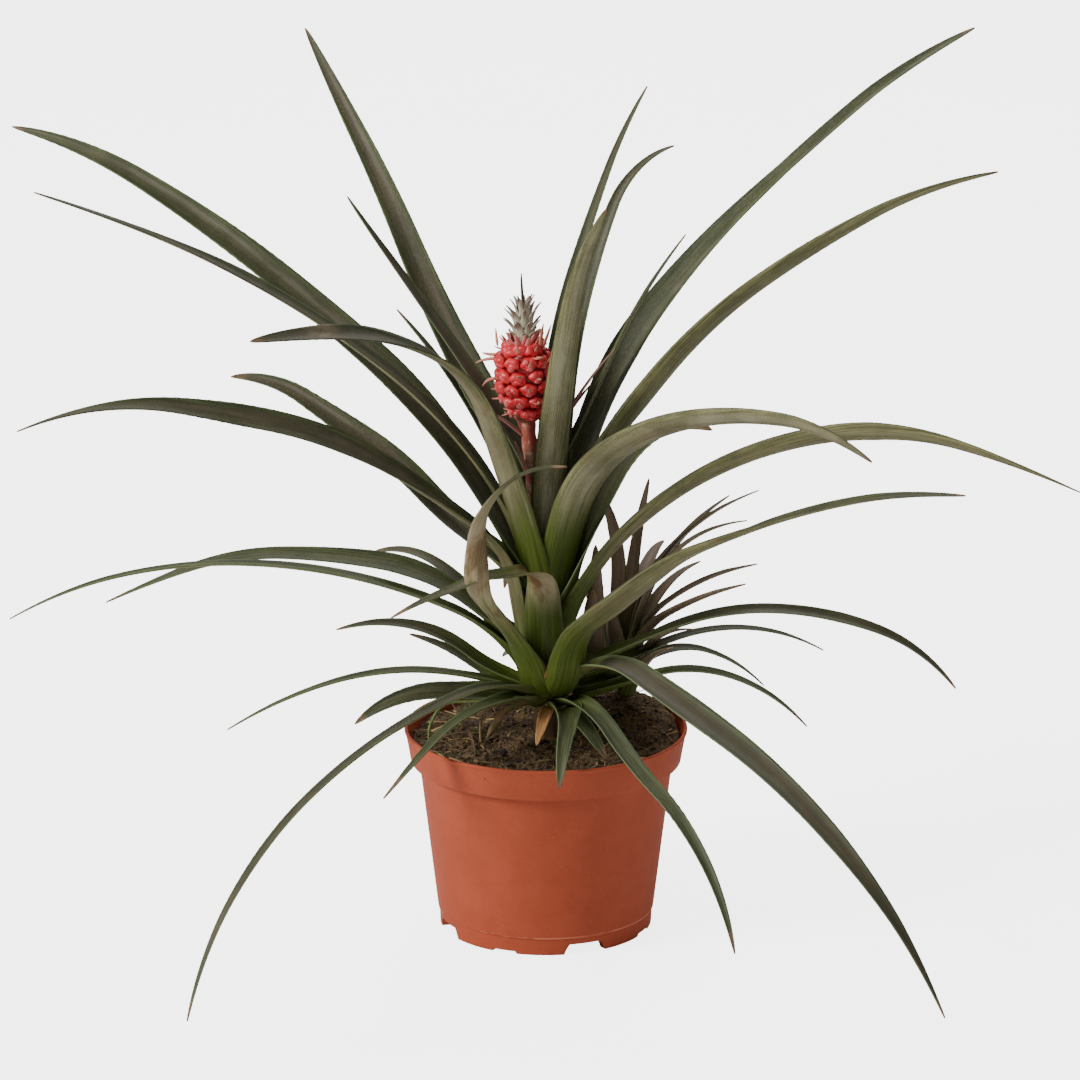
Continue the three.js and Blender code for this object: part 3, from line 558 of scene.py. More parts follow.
def peat_finish():
    """Dark damp peat with paler dry crumbs and a little green."""
    made, tree, shader = material("peat")
    spot = spot_on(tree)
    grit = placed(tree, GRIT, Vector=spot, Size=700.0)
    colour = mixed(rise(grit["Grain"], 0.35, 0.65), paint(52, 38, 26), paint(114, 89, 55))
    colour = mixed(times(rise(grit["Mottle"], 0.5, 0.75), 0.5), colour, paint(128, 102, 62))
    moss = rise(noise(spot, 130.0, 5.0, 0.7), 0.58, 0.68)
    colour = mixed(times(moss, 0.45), colour, paint(74, 72, 36))
    coated(shader, colour, scaled(grit["Mottle"], 0.2, 0.75))
    bumped(shader, maths("ADD", grit["Grain"], grit["Mottle"]), 0.0016, 0.9)
    return made


def litter_finish(name, dark, light, roughness=0.75):
    """Straw, bark, roots or moss: two colours that vary from piece to piece and along it."""
    made, tree, shader = material(name)
    spot = spot_on(tree)
    grit = placed(tree, GRIT, Vector=spot, Size=1500.0)
    piece = noise(spot, 160.0, 2.0, 0.5)
    colour = mixed(rise(piece, 0.3, 0.7), dark, light)
    colour = mixed(rise(grit["Grain"], 0.3, 0.7), colour, mixed(0.5, colour, dark))
    coated(shader, colour, scaled(grit["Grain"], 0.2, roughness - 0.1))
    bumped(shader, grit["Grain"], 0.0004, 0.6)
    return made


def berry_skin():
    """Glossy coral-red berries, with painted shade between them and in their creases, and painted
    pinkish-white highlight flecks where they stand out.
    """
    made, tree, shader = material("berry_skin")
    spot = spot_on(tree)
    out = node(tree, "Attribute", attribute_name="out").outputs["Fac"]
    cloud = noise(spot, 420.0, 4.0, 0.6)
    colour = mixed(rise(cloud, 0.3, 0.7), paint(212, 26, 40), paint(232, 68, 72))
    # Painted shade: deep red where a berry sinks into its creases and between the berries.
    colour = mixed(rise(out, 0.35, 0.0), colour, paint(150, 14, 24))
    # Painted highlight: pinkish-white flecks where a berry stands out.
    highlight_fleck = rise(noise(stretched(spot, (1.0, 1.0, 0.5)), 900.0, 3.0, 0.6), 0.58, 0.72)
    colour = mixed(times(highlight_fleck, times(out, 0.55)), colour, paint(240, 176, 170))
    coated(shader, colour, scaled(cloud, 0.25, 0.2))
    bumped(shader, cloud, 0.0006, 0.4)
    shader.inputs["Subsurface Weight"].default_value = 0.08
    shader.inputs["Subsurface Radius"].default_value = (0.003, 0.001, 0.0008)
    return made


def scale_finish(name, foot, tip_colour, edge_colour, roughness=0.6):
    """Small scales and bracts: a foot colour, another at the tip, and a paler edge."""
    made, tree, shader = material(name)
    on = leaf_reading(tree)
    lines = fibres(on, 40.0)
    colour = mixed(rise(on["share"], 0.25, 0.85), foot, tip_colour)
    colour = mixed(times(rise(lines["Fine"], 0.4, 0.7), 0.4), colour, edge_colour)
    off = maths("ABSOLUTE", on["across"])
    colour = mixed(times(rise(off, 0.7, 1.0), 0.6), colour, edge_colour)
    coated(shader, colour, scaled(lines["Fine"], 0.2, roughness - 0.1))
    bumped(shader, lines["Fine"], 0.0003, 0.5)
    return made


def stalk_skin():
    """The fruit's stalk: reddish tan above and brown below, with pale patches."""
    made, tree, shader = material("stalk_skin")
    spot = spot_on(tree)
    height = height_of(spot)
    cloud = noise(stretched(spot, (1.0, 1.0, 0.4)), 260.0, 5.0, 0.6)
    colour = mixed(rise(cloud, 0.35, 0.65), paint(168, 74, 60), paint(206, 136, 108))
    brown = mixed(rise(cloud, 0.35, 0.65), paint(136, 98, 74), paint(184, 150, 120))
    colour = mixed(rise(height, STALK_RED_FROM * MM, STALK_BROWN_TO * MM), colour, brown)
    cells = {"Vector": stretched(spot, (1.0, 1.0, 1.5)), "Scale": 230.0}
    cell = node(tree, "TexVoronoi", cells).outputs[0]
    patch = times(rise(cell, 0.42, 0.2), rise(cloud, 0.36, 0.56))
    colour = mixed(times(patch, 0.75), colour, paint(232, 190, 170))
    coated(shader, colour, scaled(cloud, 0.2, 0.42))
    bumped(shader, cloud, 0.0006, 0.5)
    return made


def stem_skin():
    """The short stem among the leaf feet: green with dry brown rings."""
    made, tree, shader = material("stem_skin")
    spot = spot_on(tree)
    height = height_of(spot)
    cloud = noise(stretched(spot, (1.0, 1.0, 0.3)), 220.0, 5.0, 0.6)
    colour = mixed(rise(cloud, 0.35, 0.65), paint(70, 86, 22), paint(110, 124, 46))
    low = rise(scaled(cloud, 0.012, height), STEM_GREEN_FROM * MM, STEM_BROWN_TO * MM)
    colour = mixed(low, colour, paint(78, 50, 30))
    coated(shader, colour, scaled(cloud, 0.2, 0.5))
    bumped(shader, cloud, 0.0008, 0.5)
    return made


def floor_paper():
    """The plain pale floor, a little brighter to the camera than the light makes it."""
    made, tree, shader = material("pale_paper")
    cloud = noise(spot_on(tree), 3.0, 2.0, 0.5)
    white = mixed(cloud, paint(246, 246, 245), paint(250, 250, 249))
    coated(shader, white, scaled(cloud, 0.05, 0.85))
    seen = node(tree, "LightPath").outputs["Is Camera Ray"]
    fed(shader.inputs["Emission Color"], white)
    fed(shader.inputs["Emission Strength"], times(seen, 4.0))
    return made


LEAF_TOP = leaf_finish("leaf_upper_side", paint(42, 52, 26), paint(92, 102, 60), paint(74, 60, 46),
                       paint(132, 126, 110), 0.3, 0.4, 0.5, 0.48)
LEAF_UNDER = leaf_finish("leaf_under_side", paint(58, 61, 26), paint(142, 141, 92), paint(110, 97, 70),
                         paint(164, 160, 134), 0.0, 0.9, 1.0, 0.52)
WITHERED = dried_leaf_finish()
TERRACOTTA = pot_plastic()
PEAT = peat_finish()
STRAW = litter_finish("straw", paint(122, 96, 58), paint(196, 168, 116))
ROOTLETS = litter_finish("rootlets", paint(56, 40, 28), paint(120, 88, 58))
BARK = litter_finish("bark_chips", paint(40, 28, 22), paint(96, 68, 48), 0.85)
FALLEN_GREEN = litter_finish("fallen_green", paint(104, 122, 62), paint(160, 176, 112), 0.6)
FALLEN_RED = litter_finish("fallen_red", paint(84, 88, 40), paint(150, 104, 74), 0.65)
MOSS = litter_finish("moss", paint(58, 62, 24), paint(126, 128, 66), 0.8)
BERRY = berry_skin()
BERRY_BRACT = scale_finish("berry_bract", paint(212, 62, 70), paint(214, 120, 112), paint(244, 196, 186), 0.4)
PETAL = scale_finish("dried_petal", paint(214, 122, 104), paint(150, 104, 74), paint(232, 164, 136), 0.7)
CROWN_SCALE = scale_finish("crown_scale", paint(186, 180, 150), paint(104, 68, 56), paint(222, 212, 192), 0.6)
CROWN_SPIKE = scale_finish("crown_spike", paint(70, 46, 38), paint(34, 22, 20), paint(96, 66, 54), 0.6)
FOOT_BRACT = scale_finish("foot_bract", paint(168, 92, 76), paint(110, 78, 50), paint(190, 140, 110), 0.6)
STALK = stalk_skin()
STALK_BRACT = scale_finish("stalk_bract", paint(150, 84, 76), paint(96, 66, 52), paint(172, 120, 104), 0.6)
STEM_SKIN = stem_skin()
SHOOT_TOP = leaf_finish("shoot_upper_side", paint(84, 72, 46), paint(134, 120, 88), paint(114, 90, 74),
                        paint(158, 140, 122), 0.0, 0.6, 0.5, 0.48)
SHOOT_UNDER = leaf_finish("shoot_under_side", paint(92, 78, 54), paint(150, 134, 106), paint(122, 96, 82),
                          paint(166, 146, 130), 0.0, 0.9, 0.6, 0.52)

# -------------------------------------------------------------------------------- mesh helpers


def set_down(name, bm, materials, smooth=True):
    """Bring a modelled shape into the scene in metres, with its finish."""
    bmesh.ops.scale(bm, vec=(MM, MM, MM), verts=bm.verts)
    mesh = bpy.data.meshes.new(name)
    bm.to_mesh(mesh)
    bm.free()
    for finish in materials:
        mesh.materials.append(finish)
    mesh.polygons.foreach_set("use_smooth", [smooth] * len(mesh.polygons))
    piece = bpy.data.objects.new(name, mesh)
    bpy.context.scene.collection.objects.link(piece)
    return piece


def finished(name, bm, materials, stands_for=None, smooth=True, solid=0.0, offset=-1.0):
    """Set a piece of the plant down, give it its thickness, and let it ride."""
    piece = set_down(name, bm, materials, smooth)
    if solid:
        wall = piece.modifiers.new("thickness", "SOLIDIFY")
        wall.thickness = solid * MM
        wall.offset = offset
        wall.use_even_offset = False
        wall.material_offset = len(materials) - 1
        wall.material_offset_rim = 0
    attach(piece, "root")
    if stands_for:
        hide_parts(stands_for)


def spun(profile, steps):
    """A profile of (radius, height) points turned about +Z."""
    bm = bmesh.new()
    verts = [bm.verts.new((radius, 0, height)) for radius, height in profile]
    edges = [bm.edges.new(pair) for pair in zip(verts, verts[1:])]
    bmesh.ops.spin(bm, geom=verts + edges, cent=(0, 0, 0), axis=(0, 0, 1), dvec=(0, 0, 0),
                   angle=2 * math.pi, steps=steps, use_merge=True, use_duplicate=False)
    bmesh.ops.remove_doubles(bm, verts=bm.verts, dist=0.001)
    bmesh.ops.recalc_face_normals(bm, faces=bm.faces)
    return bm


def joined(bm, other, place=None):
    """Add one modelled shape to another, moved by a matrix."""
    mesh = bpy.data.meshes.new("part")
    if place is not None:
        bmesh.ops.transform(other, matrix=place, verts=other.verts)
    other.to_mesh(mesh)
    other.free()
    bm.from_mesh(mesh)
    bpy.data.meshes.remove(mesh)


def eased(share):
    """0 to 1 with a gentle start and end."""
    share = min(1.0, max(0.0, share))
    return share * share * (3 - 2 * share)


# -------------------------------------------------------------------------------------- blades


def along(stations, share):
    """The value at a share of the way along an evenly spaced list."""
    if len(stations) == 1:
        return stations[0]
    place = min(share, 0.9999) * (len(stations) - 1)
    i = int(place)
    return blended(stations[i], stations[i + 1], place - i)


def turn(leaf, share):
    """The blade's unit vectors: ahead along it, sideways across it, out of its upper face."""
    heading = math.radians(along(leaf["heading"], share))
    lean = math.radians(along(leaf["lean"], share))
    ahead = Vector((math.cos(heading) * math.cos(lean), math.sin(heading) * math.cos(lean),
                    math.sin(lean)))
    side = Vector((math.sin(heading), -math.cos(heading), 0))
    side.rotate(Quaternion(ahead, -math.radians(along(leaf["roll"], share))))
    return ahead, side, side.cross(ahead)


def path(leaf, start, steps):
    """The blade's middle line, walked from its start in even strides."""
    middle = Vector(start)
    points = [middle.copy()]
    strides = 3
    for i in range(steps):
        for j in range(strides):
            ahead = turn(leaf, (i + (j + 0.5) / strides) / steps)[0]
            middle += ahead * (leaf["length"] / steps / strides)
        points.append(middle.copy())
    return points


def half_width(leaf, share):
    """A narrowed foot or a wide sheath, an even blade and a sword's point."""
    point = min(1, 1.22 * max(0.0, 1 - share) ** 0.55)
    foot = min(1, 0.62 + 3.2 * share) + leaf["sheath"] * max(0, 1 - share / SHEATH_SHARE)
    return leaf["width"] / 2 * foot * point


def stem_at(stem, height):
    """A stem's middle and radius at a height."""
    share = (height - stem["foot"][2]) / (stem["top"][2] - stem["foot"][2])
    middle = Vector(stem["foot"]).lerp(Vector(stem["top"]), share)
    return middle, blended(stem["foot_radius"], stem["top_radius"], share)


def root_point(leaf, stem, sunk=False):
    """Where a leaf starts on its stem: clear of it, or sunk in it."""
    heading = math.radians(leaf["heading"][0])
    middle, radius = stem_at(stem, leaf["root"])
    out = radius + (-1.5 if sunk else GAP + BLADE_RIB)
    return Vector((middle.x + out * math.cos(heading), middle.y + out * math.sin(heading),
                   leaf["root"]))


def grown_layers(bm, look, seed):
    """The attributes that a blade's finish reads, and the part of them that is the same all over."""
    place, habit, growth = (bm.verts.layers.float_vector.new(name) for name in ("place", "habit", "growth"))
    purple, stain, pale, fresh, dry = look
    for vert in bm.verts:
        vert[habit] = (purple, stain, pale)
        vert[growth] = (seed * 3.7, fresh, dry)
    return place, bm.verts.layers.float.new("fold")


def blade(leaf, start, look=PLAIN_LOOK, seed=0.0, cell=1.6, across=8, teeth=0.12, clasp=0.0,
          cup=44.0, ripple=0.35, fold=NO_FOLD):
    """A channelled blade. Its foot clasps the stem over the length clasp; its edges are toothed."""
    steps = max(8, round(leaf["length"] / cell))
    bm = bmesh.new()
    bmesh.ops.create_grid(bm, x_segments=steps, y_segments=across, size=1)
    points = path(leaf, start, steps)
    frames = [turn(leaf, i / steps) for i in range(steps + 1)]
    uv = bm.loops.layers.uv.new("leaf")
    place, creased = grown_layers(bm, look, seed)
    rng = random.Random(seed)
    waves = [(rng.uniform(0.03, 0.09), rng.uniform(0, 6.28)) for _ in range(3)]
    flat = {}
    for vert in bm.verts:
        station = round((vert.co.x + 1) / 2 * steps)
        share, aside = station / steps, vert.co.y
        ahead, side, face = frames[station]
        walked = share * leaf["length"]
        hold = 1 - eased(walked / clasp) if clasp else 0.0
        half = max(0.12, half_width(leaf, share)) + hold * leaf["width"] * FOOT_FLARE
        bow = math.radians(blended(cup, CLASP_BOW, hold)) * blended(0.35, 1, min(1, (1 - share) * 6))
        out = half * math.sin(aside * bow) / math.sin(bow)
        up = half * ((1 - math.cos(aside * bow)) / math.sin(bow) - CHANNEL)
        wave = sum(math.sin(walked * rate + shift) for rate, shift in waves) / 3
        up += ripple * wave * aside * abs(aside) * min(1, half / 4) * (1 - hold)
        tooth = 0.0
        if abs(aside) > 0.99 and station % TOOTH_EVERY == 0:
            tooth = teeth * (0.4 + 1.2 * eased(wave)) * min(1, half / 3) * min(1, walked / 25)
        out += math.copysign(tooth, aside)
        vert.co = points[station] + side * out + face * up + ahead * (tooth * 0.9)
        vert[place] = (aside, share, leaf["length"] - walked)
        vert[creased] = fold[2] * (1 - eased(abs(walked - fold[0]) / fold[1]))
        flat[vert] = (out / 10, walked / 10)
    for facet in bm.faces:
        for loop in facet.loops:
            loop[uv].uv = flat[loop.vert]
    bm.normal_update()
    middle_face = min(bm.faces, key=lambda f: (f.calc_center_median() - points[steps // 2]).length)
    if middle_face.normal.dot(frames[steps // 2][2]) < 0:
        bmesh.ops.reverse_faces(bm, faces=bm.faces)
    return bm


def make_leaves():
    """One piece for each leaf of the plant, standing for its solid."""
    for number, (name, one) in enumerate(LEAVES.items()):
        short = one["length"] < 60
        bm = blade(one, root_point(one, STEM), LOOKS.get(name, PLAIN_LOOK), number + 1,
                   clasp=0 if short else 38, across=6 if short else 10, fold=FOLDS.get(name, NO_FOLD))
        dried = name == DRIED_LEAF
        finished(f"{name}_blade", bm, [WITHERED] if dried else [LEAF_TOP, LEAF_UNDER],
                 f"leaf_{name}", solid=0.55)


def make_shoot():
    """The side shoot: its leaves, the sheathing ones about its foot included, in one piece."""
    bm = bmesh.new()
    for number, one in enumerate(SHOOT_LEAVES):
        part = blade(one, root_point(one, OFFSET, sunk=True), (0.8, 0.4, 0.3, 0.05, 5), 60 + number,
                     cell=1.8, across=6, clasp=20)
        joined(bm, part)
    finished("shoot_leaves", bm, [SHOOT_TOP, SHOOT_UNDER], "shoot", solid=0.5)


# ----------------------------------------------------------------------------------------- pot


def notch_lift(angle, radius):
    """How far the foot ring is cut away at an angle in degrees."""
    lift = 0.0
    for notch in (DRAIN_NOTCH, AIR_NOTCH):
        away = (angle - notch["turn"] + 45) % 90 - 45
        aside = abs(math.radians(away)) * radius
        corner = notch["height"] * 0.45
        inside = notch["width"] / 2 - aside
        lift = max(lift, notch["height"] * min(1, max(0, inside / corner)) ** 0.5)
    return lift


def pot_wall():
    """The pot's turned wall, from inside its foot ring over the lip and down to its floor."""
    top = RIM_HEIGHT - SKIRT_HEIGHT
    lean = (SKIRT_RADIUS - RIM_RADIUS + 0.5) / (SKIRT_HEIGHT - 1.6)
    profile = [
        (FOOT_RADIUS - FOOT_WIDTH, FLOOR_HEIGHT), (FOOT_RADIUS - FOOT_WIDTH, 0.2),
        (FOOT_RADIUS - FOOT_WIDTH + 0.2, 0), (FOOT_RADIUS - 0.25, 0), (FOOT_RADIUS, 0.25),
        (FOOT_RADIUS + 0.06, 1.0), (SEAM_RADIUS - 0.55, SEAM_HEIGHT - 0.6),
        (SEAM_RADIUS - 0.5, SEAM_HEIGHT - 0.35), (SEAM_RADIUS - 0.1, SEAM_HEIGHT - 0.15),
        (SEAM_RADIUS, SEAM_HEIGHT + 0.15), (SEAM_RADIUS + 0.2, SEAM_HEIGHT + 1.6),
        (blended(SEAM_RADIUS, BODY_TOP_RADIUS, 0.35), blended(SEAM_HEIGHT, top, 0.35)),
        (blended(SEAM_RADIUS, BODY_TOP_RADIUS, 0.7), blended(SEAM_HEIGHT, top, 0.7)),
        (BODY_TOP_RADIUS - 0.12, top - 1.0), (BODY_TOP_RADIUS + 0.1, top - 0.25),
        (BODY_TOP_RADIUS + 0.6, top), (SKIRT_RADIUS - 0.5, top),
        (SKIRT_RADIUS - 0.15, top + 0.15), (SKIRT_RADIUS, top + 0.5),
        (SKIRT_RADIUS - lean * 6, top + 6.5), (RIM_RADIUS - 0.55, RIM_HEIGHT - 2.1),
        (RIM_RADIUS - 0.5, RIM_HEIGHT - 1.7), (RIM_RADIUS - 0.1, RIM_HEIGHT - 1.3),
        (RIM_RADIUS, RIM_HEIGHT - 1.0), (RIM_RADIUS, RIM_HEIGHT - 0.45),
        (RIM_RADIUS - 0.15, RIM_HEIGHT - 0.12), (RIM_RADIUS - 0.45, RIM_HEIGHT),
        (RIM_RADIUS - WALL + 0.35, RIM_HEIGHT), (RIM_RADIUS - WALL + 0.08, RIM_HEIGHT - 0.12),
        (RIM_RADIUS - WALL, RIM_HEIGHT - 0.45), (SKIRT_RADIUS - WALL + 0.05, INNER_LEDGE + 0.5),
        (SKIRT_RADIUS - WALL - 0.4, INNER_LEDGE), (BODY_TOP_RADIUS - WALL, INNER_LEDGE),
        (BODY_TOP_RADIUS - WALL - 0.1, INNER_LEDGE - 0.6), (SEAM_RADIUS - WALL, FLOOR_TOP),
    ]
    bm = spun(profile, 360)
    for vert in bm.verts:
        if vert.co.z < 3.0:
            angle = math.degrees(math.atan2(vert.co.y, vert.co.x))
            vert.co.z += notch_lift(angle, FOOT_RADIUS) * (1 - vert.co.z / 6)
    return bm


def pot_floor():
    """The raised floor with its drain holes."""
    bm = bmesh.new()
    for i in range(DRAIN_HOLES):
        angle = math.radians(i * 360 / DRAIN_HOLES)
        spot = Matrix.Translation((DRAIN_CIRCLE * math.cos(angle), DRAIN_CIRCLE * math.sin(angle), 0))
        bmesh.ops.create_circle(bm, cap_ends=False, segments=24, radius=DRAIN_RADIUS, matrix=spot)
    bmesh.ops.create_circle(bm, cap_ends=False, segments=120, radius=FOOT_RADIUS - FOOT_WIDTH + 0.5)
    bmesh.ops.triangle_fill(bm, use_beauty=True, use_dissolve=False, edges=bm.edges)
    bmesh.ops.recalc_face_normals(bm, faces=bm.faces)
    bm.faces.ensure_lookup_table()
    if bm.faces[0].normal.z < 0:
        bmesh.ops.reverse_faces(bm, faces=bm.faces)
    bmesh.ops.translate(bm, vec=(0, 0, FLOOR_TOP), verts=bm.verts)
    return bm


def make_pot():
    """The pot in two pieces, the wall standing for the solid."""
    finished("pot_wall", pot_wall(), [TERRACOTTA], "pot")
    finished("pot_floor", pot_floor(), [TERRACOTTA], smooth=False, solid=WALL)


# ---------------------------------------------------------------------------------------- soil


def soil_height(x, y):
    """The peat's surface, as in the solid, with finer lumps."""
    raised = max(
        heap["height"] * math.exp(-0.5 * (math.hypot(x - heap["x"], y - heap["y"]) / heap["spread"]) ** 2)
        for heap in (SOIL_HEAP, SOIL_MOUND))
    lumps = (math.sin(x * 0.31 + y * 0.12) + math.sin(y * 0.37 - x * 0.09 + 1.3)
             + 0.6 * math.sin(x * 0.73 + 2.1) * math.cos(y * 0.66))
    return SOIL_LEVEL + raised + SOIL_LUMPS * lumps


def crumbly(x, y):
    """Small crumbs on the peat, a millimetre or so high."""
    total = 0.0
    for rate, size in ((0.9, 0.5), (2.1, 0.4), (3.9, 0.22)):
        total += size * math.sin(x * rate + 2.1 * math.sin(y * rate * 0.7 + rate)) \
            * math.sin(y * rate * 1.07 + 1.9 * math.sin(x * rate * 0.8))
    return total


def soil_edge():
    """How far out the peat's surface reaches, just inside the pot's wall."""
    return blended(SKIRT_RADIUS - WALL, RIM_RADIUS - WALL,
                   (SOIL_LEVEL - 3 - INNER_LEDGE) / (RIM_HEIGHT - INNER_LEDGE)) - GAP - 0.2


def peat_body():
    """A round crumbly top, let down the inside of the pot to its floor."""
    bm = bmesh.new()
    bmesh.ops.create_grid(bm, x_segments=PEAT_CELLS, y_segments=PEAT_CELLS, size=1)
    edge = soil_edge()
    for vert in bm.verts:
        x, y = vert.co.x, vert.co.y
        reach = max(abs(x), abs(y))
        if reach:
            stretch = reach / math.hypot(x, y) * edge
            x, y = x * stretch, y * stretch
        calm = min(1, (edge - math.hypot(x, y)) / 2)
        vert.co = (x, y, soil_height(x, y) + PEAT_LIFT + crumbly(x, y) * max(0.2, calm))
    rim = [e for e in bm.edges if e.is_boundary]
    for radius, height in ((SKIRT_RADIUS - WALL - 0.6, INNER_LEDGE + 0.4),
                           (BODY_TOP_RADIUS - WALL - 0.6, INNER_LEDGE + 0.3),
                           (SEAM_RADIUS - WALL - 0.6, FLOOR_TOP + 0.3)):
        wall = bmesh.ops.extrude_edge_only(bm, edges=rim)["geom"]
        lower = [v for v in wall if isinstance(v, bmesh.types.BMVert)]
        rim = [e for e in wall if isinstance(e, bmesh.types.BMEdge) and e.is_boundary]
        for vert in lower:
            away = math.hypot(vert.co.x, vert.co.y)
            vert.co = (vert.co.x / away * radius, vert.co.y / away * radius, height)
    bmesh.ops.holes_fill(bm, edges=rim, sides=0)
    bmesh.ops.recalc_face_normals(bm, faces=bm.faces)
    return bm


def soil_spots(count, seed):
    """Places scattered evenly over the peat, clear of the stem and the pot's wall."""
    rng = random.Random(seed)
    spots = []
    while len(spots) < count:
        x, y = rng.uniform(-58, 58), rng.uniform(-58, 58)
        if math.hypot(x, y) < soil_edge() - LITTER_FROM_RIM \
                and math.hypot(x - STEM["foot"][0], y) > LITTER_FROM_STEM:
            spots.append((x, y, soil_height(x, y) + PEAT_LIFT, rng))
    return spots


def strand(length, width, bend, rng, steps=7):
    """A thin curved strip of straw or root, lying flat."""
    bm = bmesh.new()
    bmesh.ops.create_grid(bm, x_segments=steps, y_segments=1, size=1)
    lift = rng.uniform(0.1, 1.0)
    for vert in bm.verts:
        share = (vert.co.x + 1) / 2
        swing = bend * (share - 0.5)
        aside = vert.co.y * width / 2 * (1 - 0.6 * share) + swing * swing * length * 0.5
        up = 0.3 + lift * math.sin(share * math.pi) * length * 0.08 + vert.co.y * width * 0.3
        vert.co = ((share - 0.5) * length, aside, up)
    return bm


def strands(lengths, widths, bend):
    """A maker of strips, each drawn from the given ranges."""
    return lambda rng: strand(rng.uniform(*lengths), rng.uniform(*widths), rng.uniform(-bend, bend), rng)


def scattered(name, finish, count, seed, shape, solid=0.0):
    """Many small pieces laid over the peat, in one object."""
    bm = bmesh.new()
    for x, y, height, rng in soil_spots(count, seed):
        place = Matrix.Translation((x, y, height)) @ Matrix.Rotation(rng.uniform(0, 2 * math.pi), 4, "Z") \
            @ Matrix.Rotation(rng.gauss(0, 0.18), 4, "Y")
        joined(bm, shape(rng), place)
    finished(name, bm, [finish], solid=solid, offset=0.0)


def crumb(rng):
    """A lump of peat."""
    bm = bmesh.new()
    bmesh.ops.create_icosphere(bm, subdivisions=1, radius=rng.uniform(0.5, 1.5))
    for vert in bm.verts:
        vert.co *= rng.uniform(0.7, 1.25)
        vert.co.z *= 0.7
    return bm


def chip(rng):
    """A flake of bark."""
    bm = bmesh.new()
    bmesh.ops.create_cube(bm, size=1)
    bmesh.ops.bevel(bm, geom=bm.edges[:], offset=0.14, segments=1, profile=0.5, affect="EDGES", material=-1)
    length, width, thick = rng.uniform(3, 8), rng.uniform(1.5, 3.5), rng.uniform(0.5, 1.2)
    for vert in bm.verts:
        vert.co = (vert.co.x * length * rng.uniform(0.9, 1.1), vert.co.y * width * rng.uniform(0.85, 1.15),
                   vert.co.z * thick + 0.4)
    return bm


def moss_tuft(rng):
    """A tuft of five tiny blades."""
    bm = bmesh.new()
    for _ in range(5):
        part = strand(rng.uniform(1.5, 3.2), 0.5, rng.uniform(-0.6, 0.6), rng, 3)
        tilt = Matrix.Rotation(rng.uniform(0, 6.28), 4, "Z") @ Matrix.Rotation(-rng.uniform(0.3, 1.2), 4, "Y")
        joined(bm, part, tilt)
    return bm


def ribbon(points, width):
    """A narrow strip, its face to the viewer, along a smooth curve through the given points."""
    count = 24
    line = smooth_path(points, count)
    bm = bmesh.new()
    bmesh.ops.create_grid(bm, x_segments=count, y_segments=2, size=1)
    for vert in bm.verts:
        i = round((vert.co.x + 1) / 2 * count)
        ahead = (line[min(i + 1, count)] - line[max(i - 1, 0)]).normalized()
        side = ahead.cross(Vector((0, 1, 0))).normalized()
        half = width / 2 * min(1, 0.25 + 4 * (1 - i / count)) * vert.co.y
        vert.co = line[i] + side * half + Vector((0, abs(vert.co.y) * width * 0.15, 0))
    bmesh.ops.recalc_face_normals(bm, faces=bm.faces)
    return bm


def make_fallen():
    """What lies on the peat at the left: a curled green blade, a drying leaf, a twig and a straw."""
    for name, points, width, finish, solid in (
            ("curled_blade", CURLED_BLADE, 1.4, FALLEN_GREEN, 0.3),
            ("drying_leaf", DRYING_LEAF, 3.4, FALLEN_RED, 0.4), ("twig", TWIG, 1.1, ROOTLETS, 0.6),
            ("upright_straw", UPRIGHT_STRAW, 0.8, STRAW, 0.3)):
        finished(name, ribbon(points, width), [finish], solid=solid)


def make_soil():
    """The peat, and what is scattered over it."""
    finished("peat_body", peat_body(), [PEAT], "soil")
    scattered("peat_crumbs", PEAT, 900, 3, crumb)
    scattered("bark_flakes", BARK, 60, 5, chip)
    scattered("moss_tufts", MOSS, 120, 7, moss_tuft, 0.12)
    scattered("straw_bits", STRAW, 110, 11, strands((4, 17), (0.35, 0.9), 1.4), 0.15)
    scattered("root_threads", ROOTLETS, 190, 13, strands((4, 15), (0.25, 0.5), 2.0), 0.12)


# ---------------------------------------------------------------------- stalk, fruit and crown


def smooth_path(points, count):
    """Evenly placed points on a smooth curve through the given ones."""
    found = []
    spans = len(points) - 1
    for i in range(count + 1):
        place = min(i / count * spans, spans - 1e-6)
        k = int(place)
        t = place - k
        p = [Vector(points[min(max(k + j, 0), spans)]) for j in (-1, 0, 1, 2)]
        found.append(0.5 * ((2 * p[1]) + (p[2] - p[0]) * t + (2 * p[0] - 5 * p[1] + 4 * p[2] - p[3]) * t * t
                            + (3 * p[1] - p[0] - 3 * p[2] + p[3]) * t ** 3))
    return found


